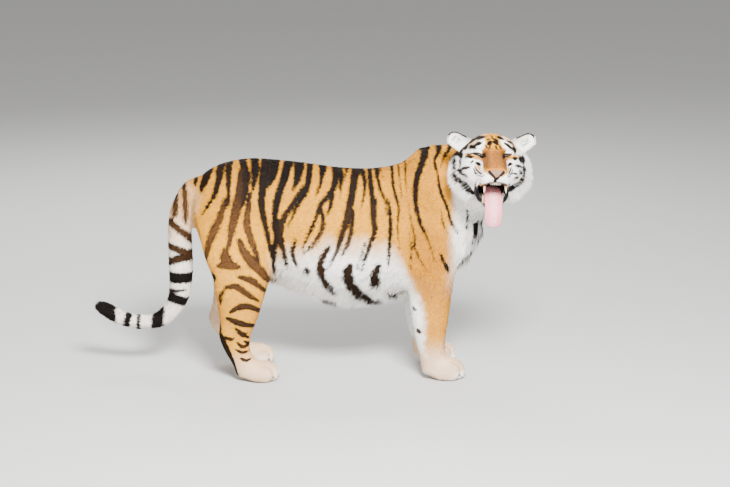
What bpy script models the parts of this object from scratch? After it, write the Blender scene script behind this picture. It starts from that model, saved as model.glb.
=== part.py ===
"""Tiger standing still with its head turned to its right side, mouth open and tongue out.

The body is modelled whole from rings and rounded masses, fused into one surface out to the
tips of the coat, and then parted with thin cuts into the parts that a person would name.
Axes: +X is the way the body faces, -Y is the tiger's right side, +Z is up, floor at z = 0.
"""
import math

import bmesh
import bpy
import numpy as np
from mathutils import Matrix, Vector

# ---------------------------------------------------------------- driving sizes, metres
GAP = 0.0003                 # clearance left between pieces that touch
VOXEL = 0.0085               # fineness of the fused surface
SMOOTH_ROUNDS = 26
TRIANGLES = 3600             # of the whole skin before it is parted
RING_POINTS = 48             # points round a lofted ring
KEEP_DETAIL = 0.0004         # how strongly the face and feet keep their points
STEPS = 5                    # rings made between two named stations
FAR = 3.0                    # beyond the tiger in every direction
LEG_SQUARENESS = 2.2         # 2 is a true oval, more is squarer
MOUTH_SQUARENESS = 2.6
TONGUE_SQUARENESS = 2.4

# Where the surface keeps its points and how far it is smoothed: 0 not at all, 1 fully
FACE_BACK = -0.14            # behind the eyes
FACE_REACH = 0.34            # from midway between the eyes
FEET_TOP = 0.11
TRUNK_LOW = 0.42
TRUNK_BACK = -0.74
THIN_OUT = {"face": 0.1, "feet": 0.6, "rest": 1.0}
SMOOTH_OUT = {"face": 0.30, "trunk": 1.0, "rest": 0.35}

EYE_SPACING = 0.110
EYE_RADIUS = 0.0165
HEAD_PITCH = math.radians(9.0)     # muzzle raised
HEAD_ROLL = math.radians(1.8)
HEAD_YAW = math.radians(2.5)       # face turned a little towards the front
HEAD_ORIGIN = Vector((0.538, -0.345, 1.036))   # midway between the eyes

FORE_NEAR = Vector((0.0, -0.132, 0.0))
FORE_FAR = Vector((-0.028, 0.132, 0.0))
HIND_NEAR = Vector((0.0, -0.160, 0.0))
HIND_FAR = Vector((-0.030, 0.120, 0.0))

# Trunk stations: x, top, underside, half width, height of the widest line (share of height)
TRUNK = [
    (-0.752, 0.800, 0.690, 0.050, 0.50),
    (-0.725, 0.868, 0.600, 0.098, 0.52),
    (-0.667, 0.920, 0.520, 0.142, 0.50),
    (-0.580, 0.950, 0.455, 0.168, 0.46),
    (-0.496, 0.961, 0.425, 0.178, 0.46),
    (-0.393, 0.956, 0.405, 0.178, 0.46),
    (-0.261, 0.942, 0.348, 0.182, 0.43),
    (-0.111, 0.921, 0.302, 0.194, 0.40),
    (0.027, 0.917, 0.309, 0.200, 0.41),
    (0.144, 0.936, 0.338, 0.196, 0.45),
    (0.226, 0.990, 0.372, 0.186, 0.47),
    (0.291, 1.018, 0.392, 0.180, 0.45),
    (0.352, 1.018, 0.408, 0.174, 0.43),
    (0.420, 0.985, 0.450, 0.158, 0.40),
    (0.480, 0.900, 0.535, 0.120, 0.42),
    (0.528, 0.800, 0.640, 0.062, 0.50),
]
# Neck stations, from the withers round to the back of the head: centre, half width, half height
NECK = [
    ((0.200, 0.000, 0.790), 0.110, 0.150),
    ((0.300, 0.000, 0.808), 0.145, 0.188),
    ((0.375, -0.006, 0.830), 0.152, 0.192),
    ((0.445, -0.030, 0.862), 0.150, 0.182),
    ((0.500, -0.085, 0.900), 0.148, 0.164),
    ((0.528, -0.160, 0.930), 0.140, 0.145),
    ((0.534, -0.215, 0.945), 0.125, 0.130),
]
# Foreleg stations: z, centre x, half length fore and aft, offset outwards, half width
FORELEG = [
    (0.760, 0.300, 0.120, -0.030, 0.060),
    (0.660, 0.300, 0.128, -0.016, 0.072),
    (0.540, 0.295, 0.120, -0.006, 0.076),
    (0.440, 0.288, 0.106, 0.000, 0.074),
    (0.366, 0.284, 0.097, 0.000, 0.070),
    (0.298, 0.284, 0.089, 0.000, 0.066),
    (0.230, 0.284, 0.080, 0.000, 0.061),
    (0.162, 0.286, 0.068, 0.000, 0.057),
    (0.105, 0.298, 0.064, 0.000, 0.057),
    (0.060, 0.318, 0.078, 0.000, 0.060),
    (0.020, 0.324, 0.080, 0.000, 0.060),
]
FORE_TOES = 0.378            # x of the toes' centres on the near forefoot
# Hind leg stations
HINDLEG = [
    (0.800, -0.560, 0.150, -0.066, 0.060),
    (0.700, -0.560, 0.168, -0.050, 0.074),
    (0.600, -0.555, 0.160, -0.034, 0.082),
    (0.520, -0.545, 0.146, -0.018, 0.082),
    (0.450, -0.534, 0.128, -0.008, 0.078),
    (0.393, -0.540, 0.114, 0.000, 0.073),
    (0.320, -0.546, 0.098, 0.000, 0.066),
    (0.262, -0.552, 0.085, 0.000, 0.058),
    (0.212, -0.566, 0.076, 0.000, 0.053),
    (0.165, -0.566, 0.066, 0.000, 0.050),
    (0.120, -0.552, 0.058, 0.000, 0.050),
    (0.075, -0.520, 0.064, 0.000, 0.053),
    (0.035, -0.498, 0.072, 0.000, 0.056),
    (0.015, -0.496, 0.072, 0.000, 0.056),
]
HIND_TOES = -0.434
TOE_SPREAD = (-0.048, -0.017, 0.017, 0.048)
TOE_REACH = (-0.016, 0.0, 0.0, -0.016)

# Tail: centre and radius from the root to the tip
TAIL = [
    ((-0.660, 0.000, 0.850), 0.048),
    ((-0.735, 0.002, 0.824), 0.053),
    ((-0.785, 0.006, 0.755), 0.054),
    ((-0.808, 0.010, 0.680), 0.053),
    ((-0.814, 0.014, 0.585), 0.053),
    ((-0.812, 0.018, 0.470), 0.053),
    ((-0.815, 0.020, 0.400), 0.050),
    ((-0.823, 0.022, 0.340), 0.046),
    ((-0.850, 0.024, 0.282), 0.041),
    ((-0.895, 0.026, 0.236), 0.036),
    ((-0.950, 0.028, 0.213), 0.0335),
    ((-1.020, 0.030, 0.212), 0.033),
    ((-1.088, 0.032, 0.231), 0.033),
    ((-1.148, 0.034, 0.266), 0.033),
    ((-1.190, 0.034, 0.288), 0.024),
]

# Muscle that stands out on each flank: centre on the tiger's left, half sizes
FLANK_MASSES = [
    ((0.268, 0.080, 0.800), (0.110, 0.098, 0.200)),      # shoulder blade
    ((0.312, 0.120, 0.620), (0.122, 0.078, 0.150)),      # upper arm
    ((-0.575, 0.078, 0.730), (0.170, 0.102, 0.170)),     # haunch
    ((-0.500, 0.116, 0.560), (0.125, 0.078, 0.140)),     # thigh
]
BREAST = ((0.405, 0.0, 0.600), (0.082, 0.110, 0.160))

# Rounded masses of the head, in the head's own axes: side (to the tiger's left), forward, up
CENTRE_MASSES = [
    ((0.000, -0.095, 0.000), (0.122, 0.105, 0.092)),     # cranium
    ((0.000, 0.048, -0.084), (0.060, 0.078, 0.042)),     # muzzle
    ((0.000, 0.086, -0.088), (0.048, 0.044, 0.036)),     # blunt end of the muzzle
    ((0.000, -0.090, -0.160), (0.085, 0.085, 0.075)),    # throat
    ((0.000, 0.119, -0.078), (0.032, 0.019, 0.022)),     # nose tip
    ((0.000, 0.018, -0.236), (0.036, 0.030, 0.026)),     # chin
]
PAIRED_MASSES = [
    ((0.070, -0.075, -0.066), (0.096, 0.084, 0.098)),    # cheek
    ((0.106, -0.110, -0.078), (0.086, 0.072, 0.110)),    # ruff
    ((0.072, -0.092, -0.148), (0.076, 0.066, 0.064)),    # lower ruff
    ((0.062, -0.022, -0.044), (0.046, 0.046, 0.040)),    # cheekbone
    ((0.047, -0.034, 0.032), (0.050, 0.040, 0.030)),     # brow
    ((0.035, 0.080, -0.097), (0.039, 0.048, 0.032)),     # whisker pad
    ((0.050, -0.035, -0.165), (0.026, 0.050, 0.050)),    # side of the jaw
]
BRIDGE = [                   # bridge of the nose: centre, half width, half height
    ((0.0, -0.060, 0.030), 0.052, 0.030),
    ((0.0, -0.004, 0.006), 0.040, 0.034),
    ((0.0, 0.050, -0.028), 0.037, 0.034),
    ((0.0, 0.114, -0.062), 0.035, 0.026),
]
JAW = [
    ((0.0, -0.090, -0.165), 0.064, 0.042),
    ((0.0, -0.035, -0.196), 0.054, 0.034),
    ((0.0, 0.010, -0.226), 0.042, 0.027),
    ((0.0, 0.030, -0.234), 0.034, 0.022),
]
TONGUE = [                   # centre, half width, half thickness
    ((0.0, -0.062, -0.142), 0.028, 0.011),
    ((0.0, -0.020, -0.150), 0.034, 0.012),
    ((0.0, 0.018, -0.172), 0.037, 0.011),
    ((0.0, 0.044, -0.202), 0.037, 0.010),
    ((0.0, 0.057, -0.238), 0.036, 0.008),
    ((0.0, 0.056, -0.270), 0.035, 0.007),
    ((0.0, 0.050, -0.292), 0.031, 0.006),
    ((0.0, 0.045, -0.301), 0.018, 0.004),
]
MOUTH = [                    # hollow of the mouth, from the throat to past the lips
    ((0.0, -0.074, -0.142), 0.040, 0.022),
    ((0.0, -0.035, -0.150), 0.049, 0.033),
    ((0.0, 0.010, -0.162), 0.057, 0.046),
    ((0.0, 0.060, -0.169), 0.063, 0.051),
    ((0.0, 0.160, -0.178), 0.070, 0.060),
]
EAR_BASE = (0.127, -0.112, 0.042)
EAR_TIP = (0.187, -0.108, 0.079)
EAR_HALF_WIDTH = 0.037
EAR_THICK = 0.0060
EAR_ROOT = 0.040             # how far the ear starts inside the head before it is trimmed
EAR_TAPER = 0.34
EAR_CUP = (0.024, 0.005)     # depth of the hollow at the root, and added all along
TOOTH_BOW = 0.006
TOOTH_POINT = 0.0008
UPPER_CANINE = ((0.043, 0.082, -0.108), (0.045, 0.086, -0.156), 0.0090)
LOWER_CANINE = ((0.040, 0.020, -0.216), (0.044, 0.030, -0.178), 0.0080)
INCISOR_ROW = (0.0, 0.098, -0.120)
INCISOR_SPREAD = 0.0078
INCISOR_SIZE = (0.0035, 0.0045, 0.008)
INCISOR_ARCH = 8.0           # how strongly the row bends back to the sides, per metre
EAR_RINGS = 8
EAR_POINTS = 14
EYE_DEPTH = -0.010           # centre of the eyeball behind the line of the lids
JAW_HINGE = (0.0, -0.088, -0.146)
JAW_DROP = math.radians(21.0)
JAW_CUT = ((-0.068, 0.0, -0.2), (0.068, 0.3, 0.0))       # box below the hinge line
NOSE_OUTLINE = [             # side, up: half of the nose leather, seen from the front
    (0.000, -0.048),
    (0.020, -0.047),
    (0.033, -0.056),
    (0.034, -0.070),
    (0.020, -0.084),
    (0.010, -0.098),
    (0.000, -0.103),
]
NOSE_BACK = 0.118            # how far forward of the eyes the nose leather starts
NOSE_FRONT = 0.200
HEAD_CUT = (0.360, -0.172, 0.765)
HEAD_CUT_WAY = (0.30, -0.954, 0.0)
NECK_CUT = (0.330, 0.0, 1.000)
NECK_CUT_WAY = (0.87, 0.0, 0.49)
LIMB_LEAN = 0.24                         # how far the armpit and groin cuts lean out, per metre
FRONT_BLOCK = (0.150, 0.500, 0.055)      # fore and aft reach, and inner side at the cut
FRONT_CUTS = (0.328, 0.590, 0.120)       # heights: elbow, shoulder, wrist
HIND_BLOCK = (-0.742, -0.398, 0.050)
HIND_CUTS = (0.385, 0.690, 0.195)
TOE_ROOM = 0.06
TAIL_BEND_X = -0.925
TAIL_INNER_X = -0.748
TAIL_CUT_LOW = 0.430
TAIL_CUT_HIGH = 0.690
TAIL_ROOT = (-0.738, 0.0, 0.838)
TAIL_ROOT_WAY = (-0.56, 0.0, -0.83)
TAIL_ROOT_CUT = ((0.0, -0.12, -0.062), (0.3, 0.12, 0.2))
TAIL_HALF_ROOM = 0.3
HOCK_SET_BACK = 0.036        # the left hock stands further back than the right one
HOCK_HEIGHT = 0.20
HOCK_SPREAD = 0.10

# Paws: half lengths of a toe, heights of the paw, and the pad behind the toes
FORE_PAW = (0.066, 0.098)
HIND_PAW = (0.062, 0.086)
PAD_BACK = -0.045
PAD_LENGTH = 0.062
PAD_WIDTH = 0.066
TOE_WIDTH = 0.0245

COLOURS = {
    "orange": (0.80, 0.42, 0.14),
    "cream": (0.88, 0.80, 0.66),
    "tongue": (0.85, 0.45, 0.48),
    "nose": (0.50, 0.27, 0.25),
    "eye": (0.45, 0.30, 0.08),
}


# ---------------------------------------------------------------- small makers
def fresh_scene():
    for item in list(bpy.data.objects):
        bpy.data.objects.remove(item, do_unlink=True)


def material(name, colour, roughness=0.8):
    finish = bpy.data.materials.new(name)
    finish.use_nodes = True
    shader = finish.node_tree.nodes["Principled BSDF"]
    shader.inputs["Base Color"].default_value = (*colour, 1.0)
    shader.inputs["Roughness"].default_value = roughness
    shader.inputs["Metallic"].default_value = 0.0
    return finish


def as_object(name, mesh):
    item = bpy.data.objects.new(name, mesh)
    bpy.context.scene.collection.objects.link(item)
    return item


def discard(item):
    mesh = item.data
    bpy.data.objects.remove(item, do_unlink=True)
    bpy.data.meshes.remove(mesh)


def smooth_rows(rows, steps):
    """Rows of numbers with `steps` rows on a smooth curve between each two that are given."""
    rows = np.array(rows, dtype=float)
    padded = np.vstack([2 * rows[0] - rows[1], rows, 2 * rows[-1] - rows[-2]])
    out = []
    for i in range(1, len(padded) - 2):
        p0, p1, p2, p3 = padded[i - 1:i + 3]
        for k in range(steps):
            t = k / steps
            bend = (2 * p0 - 5 * p1 + 4 * p2 - p3) * t ** 2 + (3 * p1 - p0 - 3 * p2 + p3) * t ** 3
            out.append(0.5 * (2 * p1 + (p2 - p0) * t + bend))
    out.append(rows[-1])
    return np.array(out)


def loft(rings):
    """Closed mesh through rings of points, with a fan over each end."""
    build = bmesh.new()
    rows = [[build.verts.new(point) for point in ring] for ring in rings]
    count = len(rows[0])
    for lower, upper in zip(rows, rows[1:]):
        for j in range(count):
            k = (j + 1) % count
            build.faces.new((lower[j], lower[k], upper[k], upper[j]))
    for row in (rows[0], rows[-1]):
        middle = build.verts.new(sum((v.co for v in row), Vector()) / count)
        for j in range(count):
            build.faces.new((row[j], row[(j + 1) % count], middle))
    bmesh.ops.recalc_face_normals(build, faces=build.faces)
    mesh = bpy.data.meshes.new("loft")
    build.to_mesh(mesh)
    build.free()
    return mesh


def oval(centre, across, up, power=2.0, count=RING_POINTS):
    """Points of a rounded outline with half sizes given by the two vectors."""
    points = []
    for j in range(count):
        angle = 2 * math.pi * j / count
        c, s = math.cos(angle), math.sin(angle)
        c = math.copysign(abs(c) ** (2 / power), c)
        s = math.copysign(abs(s) ** (2 / power), s)
        points.append(Vector(centre) + Vector(across) * c + Vector(up) * s)
    return points


def tube(centres, half_widths, half_heights, side=None, power=2.0, count=RING_POINTS):
    """Loft along a path, each ring square to it; side fixes which way is across."""
    centres = [Vector(c) for c in centres]
    rings = []
    for i, centre in enumerate(centres):
        ahead = (centres[min(i + 1, len(centres) - 1)] - centres[max(i - 1, 0)]).normalized()
        across = (side or Vector((0, 1, 0))).copy()
        across = (across - ahead * across.dot(ahead)).normalized()
        up = ahead.cross(across).normalized()
        rings.append(oval(centre, across * half_widths[i], up * half_heights[i], power, count))
    return loft(rings)


def smooth_tube(stations, side=None, power=2.0, steps=STEPS, count=RING_POINTS):
    rows = smooth_rows([(*centre, width, height) for centre, width, height in stations], steps)
    return tube([row[:3] for row in rows], rows[:, 3], rows[:, 4], side, power, count)


def ball(centre, radii, frame=Matrix.Identity(4), segments=24):
    build = bmesh.new()
    bmesh.ops.create_uvsphere(build, u_segments=segments, v_segments=segments // 2, radius=1.0)
    place = frame @ Matrix.Translation(centre) @ Matrix.Diagonal((*radii, 1.0))
    bmesh.ops.transform(build, matrix=place, verts=build.verts)
    bmesh.ops.recalc_face_normals(build, faces=build.faces)
    mesh = bpy.data.meshes.new("ball")
    build.to_mesh(mesh)
    build.free()
    return mesh


def box(low, high, frame=Matrix.Identity(4), grow=0.0):
    """Closed box between two corners in its own axes, grown all round."""
    build = bmesh.new()
    bmesh.ops.create_cube(build, size=1.0)
    low = Vector(low) - Vector((grow, grow, grow))
    high = Vector(high) + Vector((grow, grow, grow))
    place = frame @ Matrix.Translation((low + high) / 2) @ Matrix.Diagonal((*(high - low), 1.0))
    bmesh.ops.transform(build, matrix=place, verts=build.verts)
    bmesh.ops.recalc_face_normals(build, faces=build.faces)
    mesh = bpy.data.meshes.new("box")
    build.to_mesh(mesh)
    build.free()
    return mesh


def joined(name, meshes):
    build = bmesh.new()
    for mesh in meshes:
        build.from_mesh(mesh)
        bpy.data.meshes.remove(mesh)
    whole = bpy.data.meshes.new(name)
    build.to_mesh(whole)
    build.free()
    return as_object(name, whole)


def settled(item):
    """The object with its modifiers made real."""
    bpy.context.view_layer.update()
    graph = bpy.context.evaluated_depsgraph_get()
    mesh = bpy.data.meshes.new_from_object(item.evaluated_get(graph))
    item.modifiers.clear()
    old = item.data
    item.data = mesh
    bpy.data.meshes.remove(old)
    return item


def boolean(item, cutter_mesh, operation):
    """A new object: item with the cutter's mesh united, taken away or kept in common."""
    cutter = as_object("cutter", cutter_mesh)
    cutter.hide_render = True
    cutter.display_type = "WIRE"
    result = as_object(item.name, item.data.copy())
    step = result.modifiers.new("cut", "BOOLEAN")
    step.object = cutter
    step.operation = operation
    step.solver = "EXACT"
    settled(result)
    discard(cutter)
    return result


# ---------------------------------------------------------------- the head's own axes
def head_frame():
    """Head axes: x to the tiger's left, y forward out of the face, z up."""
    left, ahead, up = Vector((1, 0, 0)), Vector((0, -1, 0)), Vector((0, 0, 1))
    turn = Matrix.Rotation(HEAD_YAW, 3, "Z")
    turn = turn @ Matrix.Rotation(HEAD_ROLL, 3, "Y") @ Matrix.Rotation(-HEAD_PITCH, 3, "X")
    columns = [turn @ axis for axis in (left, ahead, up)]
    frame = Matrix((columns[0], columns[1], columns[2])).transposed().to_4x4()
    frame.translation = HEAD_ORIGIN
    return frame


HEAD = head_frame()


def in_head(stations):
    return [(HEAD @ Vector(centre), width, height) for centre, width, height in stations]


def head_side():
    return (HEAD.to_3x3() @ Vector((1, 0, 0))).normalized()


# ---------------------------------------------------------------- masses of the body
def trunk_mesh():
    rings = []
    for x, top, under, half, share in smooth_rows(TRUNK, STEPS):
        middle = under + (top - under) * share
        ring = []
        for j in range(RING_POINTS):
            angle = 2 * math.pi * j / RING_POINTS
            rise = (top - middle) if math.sin(angle) > 0 else (middle - under)
            ring.append(Vector((x, half * math.cos(angle), middle + rise * math.sin(angle))))
        rings.append(ring)
    return loft(rings)


def leg_mesh(stations, offset, set_back=0.0):
    outward = -1.0 if offset.y < 0 else 1.0
    rings = []
    for z, x, reach, out, half in smooth_rows(stations, STEPS):
        back = set_back * math.exp(-((z - HOCK_HEIGHT) / HOCK_SPREAD) ** 2)
        centre = Vector((x - back, outward * out, z)) + offset
        rings.append(oval(centre, (reach, 0, 0), (0, half, 0), LEG_SQUARENESS))
    return loft(rings)


def paw_meshes(toes_x, offset, length, height):
    """A pad and four toes, each a little above half sunk in the floor before it is trimmed."""
    centre = Vector((toes_x, 0, 0)) + offset
    pad = centre + Vector((PAD_BACK, 0, height * 0.45))
    pieces = [ball(pad, (PAD_LENGTH, PAD_WIDTH, height * 0.62))]
    for spread, reach in zip(TOE_SPREAD, TOE_REACH):
        toe = centre + Vector((reach, spread, height * 0.40))
        pieces.append(ball(toe, (length, TOE_WIDTH, height * 0.55)))
    return pieces


def tail_mesh():
    rows = smooth_rows([(*centre, radius) for centre, radius in TAIL], STEPS)
    return tube([row[:3] for row in rows], rows[:, 3], rows[:, 3])


def head_meshes():
    pieces = [ball(centre, radii, HEAD) for centre, radii in CENTRE_MASSES]
    for centre, radii in PAIRED_MASSES:
        for side in (-1, 1):
            pieces.append(ball((side * centre[0], centre[1], centre[2]), radii, HEAD))
    pieces.append(smooth_tube(in_head(BRIDGE), head_side()))
    pieces.append(smooth_tube(in_head(JAW), head_side()))
    return pieces


def ear_mesh(side):
    """A rounded cup, open to the front, with its root sunk in the head."""
    base = Vector((side * EAR_BASE[0], EAR_BASE[1], EAR_BASE[2]))
    tip = Vector((side * EAR_TIP[0], EAR_TIP[1], EAR_TIP[2]))
    along = (tip - base).normalized()
    root = base - along * EAR_ROOT
    length = (tip - root).length
    across = along.cross(Vector((0, 1, 0))).normalized()
    rings = []
    for i in range(EAR_RINGS):
        t = i / (EAR_RINGS - 1)
        half = EAR_HALF_WIDTH * (1.0 - EAR_TAPER * t * t) * math.sqrt(max(0.03, 1.0 - t ** 5))
        cup = EAR_CUP[0] * (1 - t) + EAR_CUP[1]
        ring = []
        for j in range(EAR_POINTS):
            angle = 2 * math.pi * j / EAR_POINTS
            c = math.cos(angle)
            thick = EAR_THICK * math.sin(angle) * (1.0 - 0.4 * t)
            at = root + along * length * t + across * half * c
            ring.append(HEAD @ (at + Vector((0, thick + cup * (c * c - 0.5), 0))))
        rings.append(ring)
    return loft(rings)


def whole_body():
    """Every mass fused into one smooth surface, fine on the head and coarser on the body."""
    pieces = [trunk_mesh(), smooth_tube(NECK, Vector((0, 0, 1)).cross(Vector((1, -1, 0))))]
    for offset in (FORE_NEAR, FORE_FAR):
        pieces.append(leg_mesh(FORELEG, offset))
        pieces += paw_meshes(FORE_TOES, offset, *FORE_PAW)
    for offset, set_back in ((HIND_NEAR, 0.0), (HIND_FAR, HOCK_SET_BACK)):
        pieces.append(leg_mesh(HINDLEG, offset, set_back))
        pieces += paw_meshes(HIND_TOES, offset, *HIND_PAW)
    pieces.append(tail_mesh())
    pieces.append(ball(*BREAST))
    for (x, y, z), radii in FLANK_MASSES:
        pieces += [ball((x, side * y, z), radii) for side in (-1, 1)]
    pieces += head_meshes()
    body = joined("body", pieces)
    fuse = body.modifiers.new("fuse", "REMESH")
    fuse.mode = "VOXEL"
    fuse.voxel_size = VOXEL
    settled(body)
    detail_weights(body)
    even = body.modifiers.new("even", "SMOOTH")
    even.factor = 0.5
    even.iterations = SMOOTH_ROUNDS
    even.vertex_group = "loose"
    thin = body.modifiers.new("thin", "DECIMATE")
    thin.ratio = TRIANGLES / (2 * len(body.data.polygons))
    thin.use_collapse_triangulate = True
    thin.vertex_group = "plain"
    thin.vertex_group_factor = KEEP_DETAIL
    settled(body)
    return body


def detail_weights(body):
    """Groups that say where the surface keeps its points, and where it is smoothed."""
    plain = body.vertex_groups.new(name="plain")
    loose = body.vertex_groups.new(name="loose")
    to_head = HEAD.inverted()
    for vertex in body.data.vertices:
        local = to_head @ vertex.co
        face = local.y > FACE_BACK and local.length < FACE_REACH
        feet = vertex.co.z < FEET_TOP
        trunk = vertex.co.z > TRUNK_LOW and vertex.co.x > TRUNK_BACK
        thin_place = "face" if face else ("feet" if feet else "rest")
        smooth_place = "face" if face else ("trunk" if trunk else "rest")
        plain.add([vertex.index], THIN_OUT[thin_place], "REPLACE")
        loose.add([vertex.index], SMOOTH_OUT[smooth_place], "REPLACE")


# ---------------------------------------------------------------- parting
def part_off(body, name, region):
    """Split the body: the piece inside the region, and the rest with a thin gap to it."""
    piece = boolean(body, region(0.0), "INTERSECT")
    piece.name = name
    rest = boolean(body, region(GAP), "DIFFERENCE")
    discard(body)
    return piece, rest


def turned(origin, ahead, up=(0, 0, 1)):
    """Frame at origin with +X along ahead and +Z as near up as it can be."""
    x = Vector(ahead).normalized()
    y = Vector(up).cross(x).normalized()
    z = x.cross(y)
    frame = Matrix((x, y, z)).transposed().to_4x4()
    frame.translation = Vector(origin)
    return frame


def nose_region(grow):
    """Upright prism round the nose leather, wide above and narrow below."""
    half = [Vector((x + math.copysign(grow, x) if x else 0.0, 0.0, z)) for x, z in NOSE_OUTLINE]
    half[0].z += grow
    half[-1].z -= grow
    outline = half + [Vector((-p.x, 0.0, p.z)) for p in half[-2:0:-1]]
    return loft([[HEAD @ (p + Vector((0, y, 0))) for p in outline] for y in (NOSE_BACK - grow, NOSE_FRONT)])


def block(frame, low, high):
    return lambda grow: box(low, high, frame, grow)


def inflated(item):
    """The object's mesh moved outwards by the working gap."""
    copy = as_object("inflated", item.data.copy())
    swell = copy.modifiers.new("swell", "DISPLACE")
    swell.strength = GAP * 1.3
    swell.mid_level = 0.0
    settled(copy)
    mesh = copy.data.copy()
    discard(copy)
    return mesh


def carve(item, mesh):
    """Take the mesh away from the object."""
    result = boolean(item, mesh, "DIFFERENCE")
    name = item.name
    discard(item)
    result.name = name
    return result


def unite(item, mesh):
    result = boolean(item, mesh, "UNION")
    name = item.name
    discard(item)
    result.name = name
    return result


def part_limbs(body):
    """Upper, lower and end lengths of each leg, under level cuts."""
    pieces = []
    for place, reach, heights in (("front", FRONT_BLOCK, FRONT_CUTS), ("hind", HIND_BLOCK, HIND_CUTS)):
        back, front, inner = reach
        middle, top, ankle = heights
        for side, sign in (("right", -1), ("left", 1)):
            lean = Matrix.Identity(4)
            lean[1][2] = sign * LIMB_LEAN
            lean.translation = (0, sign * inner, middle)
            low, high = sorted((0.0, sign * 0.4))
            spans = (
                ("upper_leg", lean, (back, low, 0.0), (front, high, top - middle)),
                ("lower_leg", Matrix.Identity(4), (back, low, ankle), (front, high, middle)),
                ("foot", Matrix.Identity(4), (back, low, -0.1), (front + TOE_ROOM, high, ankle)),
            )
            for part, frame, lowest, highest in spans:
                region = block(frame, lowest, highest)
                piece, body = part_off(body, f"{place}_{part}_{side}", region)
                pieces.append(piece)
    return pieces, body


def part_tail(body):
    pieces = []
    level = Matrix.Identity(4)
    spans = (
        ("tail_tip", TAIL_BEND_X, 0.0, FAR),
        ("tail_lower", TAIL_INNER_X, 0.0, TAIL_CUT_LOW),
        ("tail_middle", TAIL_INNER_X, TAIL_CUT_LOW, TAIL_CUT_HIGH),
    )
    for name, front, low, high in spans:
        lowest = (-FAR, -TAIL_HALF_ROOM, low)
        piece, body = part_off(body, name, block(level, lowest, (front, TAIL_HALF_ROOM, high)))
        pieces.append(piece)
    root = turned(TAIL_ROOT, TAIL_ROOT_WAY)
    piece, body = part_off(body, "tail_base", block(root, *TAIL_ROOT_CUT))
    pieces.append(piece)
    return pieces, body


def tooth_mesh(side, root, tip, radius):
    """A slightly curved cone from inside the gum to its point."""
    rings = []
    root = Vector((side * root[0], root[1], root[2]))
    tip = Vector((side * tip[0], tip[1], tip[2]))
    for t in (0.0, 0.3, 0.6, 0.85, 1.0):
        centre = root.lerp(tip, t) + Vector((0, TOOTH_BOW * math.sin(math.pi * t), 0))
        width = radius * (1 - t ** 1.6) + TOOTH_POINT
        rings.append([HEAD @ p for p in oval(centre, (width, 0, 0), (0, width * 1.15, 0), 2.0, 8)])
    return loft(rings)


def part_head(head):
    """Mouth, jaw, nose, sockets, teeth, tongue, ears and eyes."""
    side = head_side()
    head = carve(head, smooth_tube(in_head(MOUTH), side, MOUTH_SQUARENESS, 2, 16))
    jaw_frame = HEAD @ Matrix.Translation(JAW_HINGE) @ Matrix.Rotation(-JAW_DROP, 4, "X")
    jaw, head = part_off(head, "lower_jaw", block(jaw_frame, *JAW_CUT))
    nose, head = part_off(head, "nose", nose_region)
    eyes = []
    for label, sign in (("right", -1), ("left", 1)):
        centre = (sign * EYE_SPACING / 2, EYE_DEPTH, 0.0)
        head = carve(head, ball(centre, [EYE_RADIUS + 1.5 * GAP] * 3, HEAD, 14))
        eyes.append(as_object(f"eye_{label}", ball(centre, [EYE_RADIUS] * 3, HEAD, 14)))
        head = unite(head, tooth_mesh(sign, *UPPER_CANINE))
        jaw = unite(jaw, tooth_mesh(sign, *LOWER_CANINE))
    for k in range(6):
        s = (k - 2.5) * INCISOR_SPREAD
        at = (s, INCISOR_ROW[1] - INCISOR_ARCH * s * s, INCISOR_ROW[2])
        head = unite(head, ball(at, INCISOR_SIZE, HEAD, 6))
    tongue = as_object("tongue", smooth_tube(in_head(TONGUE), side, TONGUE_SQUARENESS, 2, 12))
    groove = inflated(tongue)
    head = carve(head, groove.copy())
    jaw = carve(jaw, groove)
    ears = []
    for label, sign in (("right", -1), ("left", 1)):
        ear = as_object(f"ear_{label}", ear_mesh(sign))
        ears.append(carve(ear, inflated(head)))
    head.name = "head"
    return [head, jaw, nose, tongue] + eyes + ears


def centred(pieces):
    """Move everything so that the box of the whole stands on the origin."""
    low = Vector((1e9, 1e9, 1e9))
    high = -low
    for item in pieces:
        for vertex in item.data.vertices:
            low = Vector(map(min, low, vertex.co))
            high = Vector(map(max, high, vertex.co))
    shift = Matrix.Translation((-(low.x + high.x) / 2, -(low.y + high.y) / 2, -low.z))
    for item in pieces:
        item.data.transform(shift)
    return shift


def finish_of(name):
    for key in ("tongue", "nose", "eye"):
        if name.startswith(key):
            return key
    return "cream" if name.endswith("jaw") or "foot" in name else "orange"


def main():
    fresh_scene()
    body = whole_body()
    body = carve(body, box((-FAR, -FAR, -1), (FAR, FAR, 0)))
    head_block = turned(HEAD_CUT, HEAD_CUT_WAY)
    head, body = part_off(body, "head", block(head_block, (0, -1, 0), (1, 1, 1)))
    pieces = part_head(head)
    neck_block = turned(NECK_CUT, NECK_CUT_WAY)
    neck, body = part_off(body, "neck", block(neck_block, (0, -1, -1), (1, 1, 1)))
    pieces.append(neck)
    lengths, body = part_tail(body)
    pieces += lengths
    limbs, body = part_limbs(body)
    pieces += limbs
    body.name = "trunk"
    pieces.append(body)
    finishes = {key: material(key, colour) for key, colour in COLOURS.items()}
    for item in pieces:
        item.data.materials.clear()
        item.data.materials.append(finishes[finish_of(item.name)])
        item.vertex_groups.clear()
    centred(pieces)


main()
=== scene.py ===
"""Looks of the standing tiger: one skin under a coat of fur tufts, with its eyes, nose,
mouth, whiskers and claws, on a pale floor in soft light.

The skin is fused from the frame's own solids and drawn in by the depth of the coat. Its
markings are kept on its points as distances and amounts, and each tuft carries those of its
root, so skin and coat always match. +X is the way the body faces, -Y is the tiger's right
side, +Z is up. Sizes are metres.
"""
import math

import bmesh
import bpy
import numpy as np
from mathutils import Matrix, Vector
from mathutils.bvhtree import BVHTree


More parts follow.
